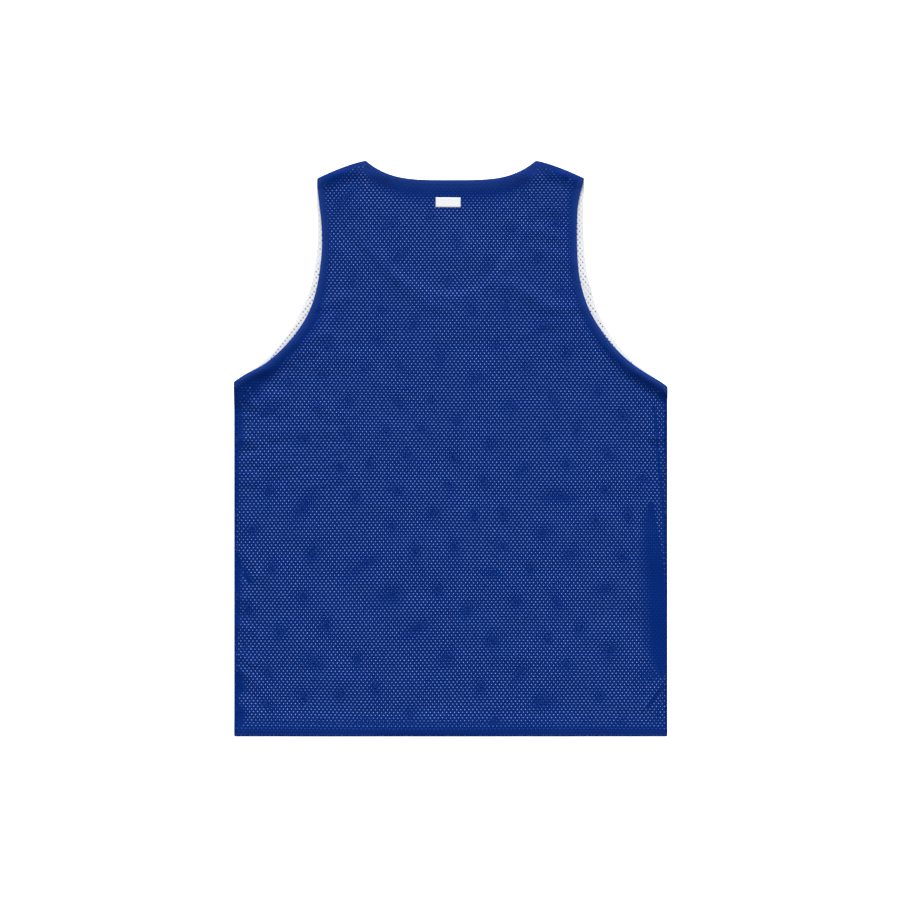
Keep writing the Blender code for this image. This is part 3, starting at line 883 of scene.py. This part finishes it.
def turned_edges(outline, turnings, height, side, first):
    """The fold round every edge and the allowance bands; side is below 0 under the ply, above 0 over it."""
    points, mirrored, thin, faces, count = [], [], [], [], first

    def add_rows(base, inward, rows):
        nonlocal count
        previous = None
        for inset, drop, thinness in rows:
            reach = inward * np.reshape(inset, (-1, 1))
            flat = base + reach
            points.append(np.column_stack((flat, height(flat) + side * drop)))
            mirrored.append(base - reach)
            thin.append(np.full(len(base), thinness))
            numbers = count + np.arange(len(base))
            count += len(base)
            if previous is not None:
                a, b, c, d = previous[:-1], previous[1:], numbers[1:], numbers[:-1]
                quads = ((a, c, b), (a, d, c)) if side < 0 else ((a, b, c), (a, c, d))
                faces.extend(np.column_stack(corners) for corners in quads)
            previous = numbers

    for name in outline.edge_points:
        base, inward, _, _ = edge_line(outline, name)
        add_rows(base, inward, [(inset * MM, drop * MM, 0.0) for inset, drop in FOLD_ROWS])
        for band in turnings[name]:
            base, inward, begins, ends = band_limits(outline, name, band)
            add_rows(base, inward, [(begins + share ** ALLOWANCE_GATHER * (ends - begins), ALLOWANCE_DROP,
                                     max(0.0, (share - THIN_FROM) / (1.0 - THIN_FROM)))
                                    for share in np.linspace(0.0, 1.0, ALLOWANCE_ROWS)])
    return np.vstack(points), np.vstack(mirrored), np.concatenate(thin), np.vstack(faces)


# %% [markdown]
# ## Sewing the plies
# One function makes each ply: net, strip, turned edges, heights. A flat map goes on each, so its
# finish can be painted onto one picture without seams.

# %% Make a ply
# How much paler each edge is, and the width in mm over which that fades into the cloth.
NEAR_EDGE = {"hem": (0.3, 8), "neck": (0.95, 19), "left_armhole": (1.0, 8),
             "right_armhole": (1.0, 8), "left_shoulder": (0.6, 8), "right_shoulder": (0.6, 8)}
NEAR_WIDTH = 3.0 * MM


def near_sewn_edge(points):
    """1 on the back's sewn edges, where the colour is painted paler, 0 inside."""
    near = np.zeros(len(points))
    for name, (share, fade) in NEAR_EDGE.items():
        gap = distance_to(points, sparser(BACK_CUT[name], 5))
        near = np.maximum(near, share * (1.0 - smoothstep((gap - NEAR_WIDTH) / (fade * MM))))
    return near


def add_piece(name, points, faces):
    mesh = bpy.data.meshes.new(name)
    mesh.from_pydata(points.tolist(), [], faces.tolist())
    mesh.update()
    mesh.shade_smooth()
    piece = add_object(name, mesh)
    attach(piece, "root")
    return piece


def add_map(mesh, name, uv):
    layer = mesh.uv_layers.new(name=name)
    layer.data.foreach_set("uv", uv.ravel())


def add_attribute(mesh, name, values):
    mesh.attributes.new(name, "FLOAT", "POINT").data.foreach_set("value", values)


def loop_points(mesh):
    """The point number at each corner of each face."""
    corners = np.empty(len(mesh.loops), int)
    mesh.loops.foreach_get("vertex_index", corners)
    return corners


MAP_MARGIN = 0.01
TURNED_MAP_SCALE = 0.30        # the copy for the allowances is so much smaller,
TURNED_MAP_AT = 0.765          # and begins this far across the map


def flat_map(flat, corners, first_turned_loop):
    """The ply seen from above, filling the map; its allowances go on a small copy beside it."""
    low, high = flat.min(axis=0), flat.max(axis=0)
    uv = ((flat - low) / (high - low).max() * (1 - 2 * MAP_MARGIN) + MAP_MARGIN)[corners]
    uv[first_turned_loop:] = uv[first_turned_loop:] * TURNED_MAP_SCALE + (TURNED_MAP_AT, 0.0)
    return uv


def make_ply(name, outline, turnings, height, side):
    net = NETS[name]
    corners, number, rows = net_holes(outline, net)
    triangles = net_triangles(number, rows)
    strip, strip_points = edge_strip(outline, corners, triangles, int(number.max()) + 1)
    flat = np.vstack((corners, strip_points))
    surface = np.column_stack((flat, height(flat)))
    turned, mirrored, thin, turned_faces = turned_edges(outline, turnings, height, side, len(surface))
    piece = add_piece(name, np.vstack((surface, turned)), np.vstack((triangles, strip, turned_faces)))
    mesh, loops = piece.data, loop_points(piece.data)
    first_turned_loop = 3 * (len(triangles) + len(strip))
    add_map(mesh, "OFBake", flat_map(np.vstack((flat, turned[:, :2])), loops, first_turned_loop))
    add_map(mesh, "cloth", cloth_places(np.vstack((flat, mirrored)), net)[loops])
    flat_cloth = np.zeros(len(surface))
    add_attribute(mesh, "turned", np.append(flat_cloth, np.ones(len(turned))))
    add_attribute(mesh, "thin", np.append(flat_cloth, thin))
    near = near_sewn_edge(flat) if name == "blue_back" else flat_cloth
    add_attribute(mesh, "near_edge", np.append(near, np.zeros(len(turned))))
    print(name, "holes", int(number.max()) + 1, "triangles", len(mesh.polygons))
    return piece


WHITE_TURNED_OVER = 0.5        # the white allowances lie flatter, as the blue ply rests on them
blue_back = make_ply("blue_back", BLUE_BACK, BACK_TURNINGS, back_outer_height, -1)
white_back = make_ply("white_back", WHITE_BACK, FRONT_TURNINGS, back_inner_height, WHITE_TURNED_OVER)
white_front = make_ply("white_front", WHITE_FRONT, FRONT_TURNINGS, front_inner_height, -1)
blue_front = make_ply("blue_front", BLUE_FRONT, FRONT_TURNINGS, front_outer_height, 1)

# %% [markdown]
# ## Label
# A small woven label is sewn to the back under the neck. It is left bare.

# %% Label
LABEL_SIZE = (33 * MM, 13 * MM)
LABEL_TILT = -0.009            # radians
LABEL_COLUMNS, LABEL_ROWS = 34, 14
LABEL_RISE = 0.45 * MM         # height and width of its rounded rim
LABEL_OVER = 0.25 * MM
LABEL_CLOTH = 0.2 * MM         # thickness


def label_place(across, up):
    """From the label's own coordinates to the place on the back."""
    c, s = math.cos(LABEL_TILT), math.sin(LABEL_TILT)
    return np.column_stack((LABEL_CENTRE[0] + across * c - up * s, LABEL_CENTRE[1] + across * s + up * c))


def make_label():
    width, height = LABEL_SIZE
    across, up = np.meshgrid(*(np.linspace(-0.5, 0.5, count + 1) for count in (LABEL_COLUMNS, LABEL_ROWS)))
    across, up = (across * width).ravel(), (up * height).ravel()
    flat = label_place(across, up)
    to_side = np.minimum(width / 2 - np.abs(across), height / 2 - np.abs(up))
    rise = LABEL_OVER + LABEL_RISE * np.sqrt(1.0 - (1.0 - np.clip(to_side / LABEL_RISE, 0, 1)) ** 2)
    top = np.column_stack((flat, back_outer_height(flat) + rise))
    row = np.arange(LABEL_ROWS)[:, None] * (LABEL_COLUMNS + 1)
    corner = (row + np.arange(LABEL_COLUMNS)[None, :]).ravel()
    faces = np.column_stack((corner, corner + 1, corner + LABEL_COLUMNS + 2, corner + LABEL_COLUMNS + 1))
    piece = add_piece("bare_label", top, faces)
    solid = piece.modifiers.new("thickness", "SOLIDIFY")
    solid.thickness = LABEL_CLOTH
    solid.offset = -1.0
    return piece


label = make_label()
print("label faces:", len(label.data.polygons))

# %% [markdown]
# ## Stitches
# The turned edges are held by a row of lockstitch. From outside one sees short, slightly sunk
# stitches with a gap between each two. They are one small capsule, copied along each row.

# %% Stitch rows
STITCH_STEP = 3.1 * MM
STITCH_LENGTH = 2.3 * MM
STITCH_RADIUS = 0.2 * MM
STITCH_SIDES = 6
STITCH_RINGS = ((-0.5, 0.0), (-0.38, 0.8), (0.0, 1.0), (0.38, 0.8), (0.5, 0.0))   # place, radius
STITCH_LIFT = 0.08 * MM        # its middle lies this far above the cloth


def stitch_shape():
    """A capsule along X with pointed ends: points and triangles."""
    points, faces = [], []
    for ring, (place, radius) in enumerate(STITCH_RINGS):
        for k in range(STITCH_SIDES):
            angle = 2 * np.pi * k / STITCH_SIDES
            points.append((place * STITCH_LENGTH, radius * STITCH_RADIUS * math.cos(angle),
                           radius * STITCH_RADIUS * math.sin(angle)))
            a, b = ring * STITCH_SIDES + k, ring * STITCH_SIDES + (k + 1) % STITCH_SIDES
            if ring < len(STITCH_RINGS) - 1:
                faces += [(a, b, b + STITCH_SIDES), (a, b + STITCH_SIDES, a + STITCH_SIDES)]
    return np.array(points), np.array(faces)


def stitch_row(outline, name, inset, height):
    """Points and faces of the stitches that run beside one edge."""
    index = outline.edge_points[name]
    line = outline.points[index] + outline.inward[index] * inset
    places = even_points(line[2:-2], STITCH_STEP)
    ahead = np.gradient(places, axis=0)
    ahead /= np.linalg.norm(ahead, axis=1)[:, None]
    shape, faces = stitch_shape()
    along, across, up = shape.T
    cosine, sine = ahead.T[:, :, None]
    x = places[:, :1] + cosine * along - sine * across
    y = places[:, 1:] + sine * along + cosine * across
    z = (height(places) + STITCH_LIFT)[:, None] + up
    numbered = faces[None] + (np.arange(len(places)) * len(shape))[:, None, None]
    return np.stack((x, y, z), axis=2).reshape(-1, 3), numbered.reshape(-1, 3)


def make_stitches(name, outline, height):
    points, faces, count = [], [], 0
    for edge, (inset, _, _) in STITCHED.items():
        row_points, row_faces = stitch_row(outline, edge, inset * MM, height)
        points.append(row_points)
        faces.append(row_faces + count)
        count += len(row_points)
    piece = add_piece(name, np.vstack(points), np.vstack(faces))
    print(name, "triangles", len(piece.data.polygons))
    return piece


blue_stitches = make_stitches("blue_stitches", BLUE_BACK, back_outer_height)

# %% [markdown]
# ## Finishes
# Both nets are the same knit, so its loops are one shader node group. It draws the columns and
# rows of loops as a height for bump, and as a mask for painted shade: the valleys between yarns
# and the rims of the holes are painted darker. A second group gives the slow unevenness of dyed
# cloth.


# %% Calculating with shader values
def math_node(tree, operation, *terms):
    """Adds one math node whose inputs are numbers or other values, and gives its result."""
    node = tree.nodes.new("ShaderNodeMath")
    node.operation = operation
    for socket, term in zip(node.inputs, terms):
        if isinstance(term, Value):
            tree.links.new(term.socket, socket)
        else:
            socket.default_value = term
    return Value(tree, node.outputs[0])


class Value:
    """A shader value that can be calculated with: each step adds a math node."""

    def __init__(self, tree, socket):
        self.tree, self.socket = tree, socket

    def step(self, operation, *others):
        return math_node(self.tree, operation, self, *others)

    __add__, __sub__ = partialmethod(step, "ADD"), partialmethod(step, "SUBTRACT")
    __mul__, __truediv__ = partialmethod(step, "MULTIPLY"), partialmethod(step, "DIVIDE")
    sine, cosine = partialmethod(step, "SINE"), partialmethod(step, "COSINE")
    lesser, greater = partialmethod(step, "MINIMUM"), partialmethod(step, "MAXIMUM")
    __abs__ = partialmethod(step, "ABSOLUTE")

    def __rsub__(self, other):
        return math_node(self.tree, "SUBTRACT", other, self)

    def clamped(self):
        self.socket.node.use_clamp = True
        return self


class Group:
    """A shader node group: inputs with their defaults, or None for a vector, and float outputs."""

    def __init__(self, name, inputs, outputs):
        self.tree = bpy.data.node_groups.new(name, "ShaderNodeTree")
        for title, value in inputs.items():
            kind = "NodeSocketVector" if value is None else "NodeSocketFloat"
            socket = self.tree.interface.new_socket(title, in_out="INPUT", socket_type=kind)
            if value is not None:
                socket.default_value = value
        for title in outputs:
            self.tree.interface.new_socket(title, in_out="OUTPUT", socket_type="NodeSocketFloat")
        self.start = self.tree.nodes.new("NodeGroupInput")
        self.end = self.tree.nodes.new("NodeGroupOutput")

    def read(self, title):
        return Value(self.tree, self.start.outputs[title])

    def axes(self, title):
        split = self.tree.nodes.new("ShaderNodeSeparateXYZ")
        self.tree.links.new(self.start.outputs[title], split.inputs[0])
        return Value(self.tree, split.outputs["X"]), Value(self.tree, split.outputs["Y"])

    def put(self, title, value):
        self.tree.links.new(value.socket, self.end.inputs[title])


# %% Knit group
LOOPS_PER_STEP = 5.0           # columns of loops from one hole to the next
LOOPS_PER_ROW_PAIR = 6.0
LOOP_SLANT = 0.8               # how far a course bends within a loop, in radians
COLUMN_SHARE, COURSE_SHARE = 0.6, 0.4
HOLE_DIP = 0.6                 # the yarn sinks towards a hole, and is painted darker there, as painted shade
HOLE_SHADE = 0.5               # and is darker there
YARN_CONTRAST, YARN_TONE = 0.5, 0.25


def knit_group():
    """Place is in steps across and double rows up, so the holes lie where Hole is near 1."""
    group = Group("knit_net", {"Place": None, "Columns": LOOPS_PER_STEP, "Courses": LOOPS_PER_ROW_PAIR},
                  ("Height", "Yarn", "Hole"))
    x, y = group.axes("Place")
    hole = (x * (2 * math.pi)).cosine() * (y * (2 * math.pi)).cosine()
    across = x * group.read("Columns") * math.pi
    up = y * group.read("Courses") * math.pi
    slant = (across * 2.0).sine() * LOOP_SLANT
    loops = abs(across.sine()) * COLUMN_SHARE + abs((up + slant).sine()) * COURSE_SHARE
    group.put("Height", loops - hole * HOLE_DIP)
    # Yarn is 1 on the top of the yarn and falls in its valleys and at the holes; there the colour is
    # painted darker, as painted shade.
    group.put("Yarn", (loops * YARN_CONTRAST + YARN_TONE - hole * HOLE_SHADE).clamped())
    group.put("Hole", hole)
    return group.tree


# %% Dye unevenness group
def dye_group():
    group = Group("dye_unevenness", {"Place": None, "Spots per metre": 9.0}, ("Tone",))
    noise = group.tree.nodes.new("ShaderNodeTexNoise")
    noise.inputs["Detail"].default_value = 3.0
    for title, socket in (("Place", "Vector"), ("Spots per metre", "Scale")):
        group.tree.links.new(group.read(title).socket, noise.inputs[socket])
    group.put("Tone", Value(group.tree, noise.outputs["Fac"]))
    return group.tree


# %% Turned cloth group
def turned_group():
    """Where the folded-in cloth lets the layer below through: at its own holes, and where it's thin."""
    group = Group("turned_cloth", {"Turned": 0.0, "Thin": 0.0, "Hole": 0.0, "Hole from": 0.35,
                                   "Hole to": 0.60, "Hole light": 0.12}, ("Spot",))
    start = group.read("Hole from")
    hole = ((group.read("Hole") - start) / (group.read("Hole to") - start)).clamped()
    spot = hole * group.read("Turned") * group.read("Hole light")
    group.put("Spot", spot.greater(group.read("Thin")))
    return group.tree


KNIT, DYE, TURNED = knit_group(), dye_group(), turned_group()
print("nodes in each group:", {group.name: len(group.nodes) for group in (KNIT, DYE, TURNED)})


# %% Cloth material
def group_node(tree, group, **links):
    node = tree.nodes.new("ShaderNodeGroup")
    node.node_tree = group
    for title, socket in links.items():
        tree.links.new(socket, node.inputs[title])
    return node


def object_place(tree):
    return tree.nodes.new("ShaderNodeTexCoord").outputs["Object"]


def mixed_colour(tree, factor, low, high):
    node = tree.nodes.new("ShaderNodeMix")
    node.data_type = "RGBA"
    tree.links.new(factor, node.inputs["Factor"])
    for socket, value in ((node.inputs[6], low), (node.inputs[7], high)):
        if isinstance(value, tuple):
            socket.default_value = (*value, 1.0)
        else:
            tree.links.new(value, socket)
    return node.outputs[2]


def add_bump(tree, shader, height, distance_mm):
    bump = tree.nodes.new("ShaderNodeBump")
    bump.inputs["Distance"].default_value = distance_mm * MM
    bump.inputs["Strength"].default_value = RELIEF_STRENGTH
    tree.links.new(height, bump.inputs["Height"])
    tree.links.new(bump.outputs["Normal"], shader.inputs["Normal"])


def new_material(name, roughness, specular):
    material = bpy.data.materials.new(name)
    material.use_nodes = True
    tree = material.node_tree
    shader = tree.nodes["Principled BSDF"]
    shader.inputs["Roughness"].default_value = roughness
    shader.inputs["Specular IOR Level"].default_value = specular
    return material, tree, shader


KNIT_ROUGHNESS, WOVEN_ROUGHNESS = 0.6, 0.55
KNIT_RELIEF_MM, WOVEN_RELIEF_MM = 0.3, 0.06
RELIEF_STRENGTH = 0.5
WHITE_SHINE, BLUE_SHINE = 0.2, 0.03


def net_material(name, specular, colours):
    """The knit's two tones (the darker one is painted shade), paler where the dye is thin or an edge is
    near, and its turned edges in a painted colour of their own.
    """
    material, tree, shader = new_material(name, KNIT_ROUGHNESS, specular)
    cloth = tree.nodes.new("ShaderNodeUVMap")
    cloth.uv_map = "cloth"
    marks = {}
    for mark in ("turned", "thin", "near_edge"):
        node = tree.nodes.new("ShaderNodeAttribute")
        node.attribute_name = mark
        marks[mark] = node.outputs["Fac"]
    knit = group_node(tree, KNIT, Place=cloth.outputs["UV"])
    dye = group_node(tree, DYE, Place=object_place(tree))
    inside = group_node(tree, TURNED, Turned=marks["turned"], Thin=marks["thin"], Hole=knit.outputs["Hole"])
    worn = mixed_colour(tree, dye.outputs["Tone"], colours["yarn"], colours["thin dye"])
    knitted = mixed_colour(tree, knit.outputs["Yarn"], colours["valley_shade"], worn)
    # Towards the back's sewn edges the colour is painted paler.
    stretched = mixed_colour(tree, marks["near_edge"], knitted, colours["near edge"])
    # Turned cloth takes a colour of its own: painted light against the shade under the ply above on the
    # blue plies and the blue-lit white, painted shade on the white front.
    shaded = mixed_colour(tree, marks["turned"], stretched, colours["turned"])
    colour = mixed_colour(tree, inside.outputs["Spot"], shaded, colours["through"])
    tree.links.new(colour, shader.inputs["Base Color"])
    add_bump(tree, shader, knit.outputs["Height"], KNIT_RELIEF_MM)
    return material


# The blue's turned colour is painted paler than its yarn: painted light against the shade under the ply
# above.
BLUE_MESH = net_material("blue_mesh_cloth", BLUE_SHINE, {
    "valley_shade": (0.0001, 0.0092, 0.102), "yarn": (0.0004, 0.0258, 0.216), "thin dye": (0.0008, 0.0315, 0.241),
    "near edge": (0.0100, 0.040, 0.230), "turned": (0.012, 0.037, 0.190), "through": (0.25, 0.33, 0.60)})
# The white back is only seen through the blue one. The blue light that it gets from the blue net is painted
# into its colour as a blue cast, and its turned colour is painted a little paler against the shade under
# the blue ply.
WHITE_UNDER_BLUE = net_material("white_mesh_in_blue_light", WHITE_SHINE, {
    "valley_shade": (0.37, 0.50, 0.92), "yarn": (0.42, 0.56, 0.98), "thin dye": (0.44, 0.58, 1.0),
    "near edge": (0.42, 0.56, 0.98), "turned": (0.48, 0.60, 0.90), "through": (0.30, 0.38, 0.62)})
# The white's turned colour is darker than its yarn: painted shade under the ply above.
WHITE_MESH = net_material("white_mesh_cloth", WHITE_SHINE, {
    "valley_shade": (0.74, 0.76, 0.79), "yarn": (0.88, 0.89, 0.91), "thin dye": (0.90, 0.91, 0.92),
    "near edge": (0.88, 0.89, 0.91), "turned": (0.80, 0.81, 0.83), "through": (0.45, 0.47, 0.52)})


# %% Thread and label materials
def woven_group():
    """Plain weave of warp and weft."""
    group = Group("plain_weave", {"Place": None, "Threads per metre": 2200.0}, ("Height",))
    x, y = group.axes("Place")
    scale = group.read("Threads per metre") * math.pi
    group.put("Height", (x * scale).sine() * (y * scale).sine() * 0.5 + 0.5)
    return group.tree


WOVEN = woven_group()


def woven_material(name, low, high, threads):
    material, tree, shader = new_material(name, WOVEN_ROUGHNESS, WHITE_SHINE)
    weave = group_node(tree, WOVEN, Place=object_place(tree))
    weave.inputs["Threads per metre"].default_value = threads
    # The low parts of the weave take the darker colour: painted shade between the threads.
    tree.links.new(mixed_colour(tree, weave.outputs["Height"], low, high), shader.inputs["Base Color"])
    add_bump(tree, shader, weave.outputs["Height"], WOVEN_RELIEF_MM)
    return material


BLUE_THREAD = woven_material("blue_thread", (0.0012, 0.011, 0.085), (0.0030, 0.025, 0.170), 1800.0)
LABEL_WHITE = woven_material("label_weave", (0.80, 0.82, 0.85), (0.91, 0.92, 0.94), 1500.0)

# %% [markdown]
# ## Each piece takes the place of its solid
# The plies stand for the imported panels: same place, same size, with the net's real holes.

# %% Dress the frame
PIECES = (
    (blue_back, "back_outer", "blue_mesh", BLUE_MESH),
    (white_back, "back_inner", "white_mesh", WHITE_UNDER_BLUE),
    (white_front, "front_inner", "white_mesh", WHITE_MESH),
    (blue_front, "front_outer", "blue_mesh", BLUE_MESH),
    (label, "label", "label_white", LABEL_WHITE),
)
for piece, node, slot, material in PIECES:
    piece.data.materials.append(material)
    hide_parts(node)
blue_stitches.data.materials.append(BLUE_THREAD)
print("pieces and their solids:", {piece.name: node for piece, node, _, _ in PIECES})

# %% [markdown]
# ## The cut size of each sheet
# The cut is the finished panel with its allowances let out: 15 mm at the hem and the neck, 12 mm
# round the armholes, 10 mm at the seams, trimmed to 8 mm at the neck points.

CUT_ALLOWANCE = {"hem": 15.0, "side": 10.0, "armhole": 12.0, "shoulder": 10.0, "neck": 15.0}   # mm
CUT_GROWTH = np.array((0.020, 0.023))   # what they add to the width and the length, in metres


def polygon_area(points):
    x, y = points.T
    return 0.5 * abs(float(np.sum(x * np.roll(y, -1) - y * np.roll(x, -1))))


def cut_size(outline):
    """Width, length and area of a panel before its edges are turned."""
    allowance = sum(CUT_ALLOWANCE[name.split("_")[-1]] * MM * edge_line(outline, name)[3]
                    for name in outline.edge_points)
    width, length = outline.points.max(axis=0) - outline.points.min(axis=0) + CUT_GROWTH
    return (float(width), float(length)), polygon_area(outline.points) + allowance


SHEETS = (
    (blue_back, BLUE_BACK, [white_back], [blue_stitches, label]),
    (white_back, WHITE_BACK, [white_front], []),
    (white_front, WHITE_FRONT, [blue_front], []),
    (blue_front, BLUE_FRONT, [], []),
)
for piece, outline, under, extras in SHEETS:
    flat, area = cut_size(outline)
    print(piece.name, "cut", [round(v, 3) for v in flat], "area", round(area, 4))

# %% [markdown]
# ## Floor and light
# The garment lies on a plain white sweep that is lit from all sides, as for a catalogue picture. A
# soft key from beyond the neck gives each fold a light and a dark side. The paper glows only where
# it is open to the camera, so that no glow comes up through the nets.

# %% Paper
FLOOR_SIZE = 12.0
FLOOR_GREY, FLOOR_ROUGHNESS, FLOOR_SHINE = 0.94, 0.9, 0.5
COVERED = ((278, -372, 76), (200, 70, 156), (150, 150, 347))   # half width, bottom and top in mm
COVER_EDGE = 6 * MM
WHITE = (1.0, 1.0, 1.0, 1.0)


def paper_group():
    """1 where the paper is open, 0 under the back."""
    group = Group("open_paper", {"Place": None}, ("Open",))
    x, y = group.axes("Place")
    covered = None
    for half_width, bottom, top in COVERED:
        inside = (half_width * MM - abs(x)).lesser(top * MM - y).lesser(y - bottom * MM)
        box = (inside / COVER_EDGE).clamped()
        covered = box if covered is None else covered.greater(box)
    group.put("Open", 1.0 - covered)
    return group.tree


bpy.ops.mesh.primitive_plane_add(size=FLOOR_SIZE, location=(0.0, 0.0, 0.0))
floor = bpy.context.object
floor.name = "floor"
floor_material, floor_tree, floor_shader = new_material("white_sweep", FLOOR_ROUGHNESS, FLOOR_SHINE)
floor_shader.inputs["Base Color"].default_value = (FLOOR_GREY, FLOOR_GREY, FLOOR_GREY, 1.0)
floor_shader.inputs["Emission Color"].default_value = WHITE
open_paper = group_node(floor_tree, paper_group(), Place=object_place(floor_tree))
seen = Value(floor_tree, floor_tree.nodes.new("ShaderNodeLightPath").outputs["Is Camera Ray"])
glow = seen * Value(floor_tree, open_paper.outputs["Open"])
floor_tree.links.new(glow.socket, floor_shader.inputs["Emission Strength"])
floor.data.materials.append(floor_material)
print("paper of", FLOOR_SIZE, "m,", len(COVERED), "boxes under the back don't glow")

# %% Light
SKY_STRENGTH = 0.45
KEY_STRENGTH = 3.2
KEY_ELEVATION = 36.0           # degrees
KEY_TURN = 2.0
KEY_SOFTNESS = 25.0

world = bpy.data.worlds.new("studio")
bpy.context.scene.world = world
world.use_nodes = True
sky = world.node_tree.nodes["Background"]
sky.inputs["Color"].default_value = WHITE
sky.inputs["Strength"].default_value = SKY_STRENGTH

key_data = bpy.data.lights.new("key", "SUN")
key_data.energy = KEY_STRENGTH
key_data.angle = math.radians(KEY_SOFTNESS)
key = add_object("key", key_data)
key.rotation_euler = (math.radians(-(90.0 - KEY_ELEVATION)), 0.0, math.radians(KEY_TURN))
bpy.context.scene.view_settings.view_transform = "Standard"
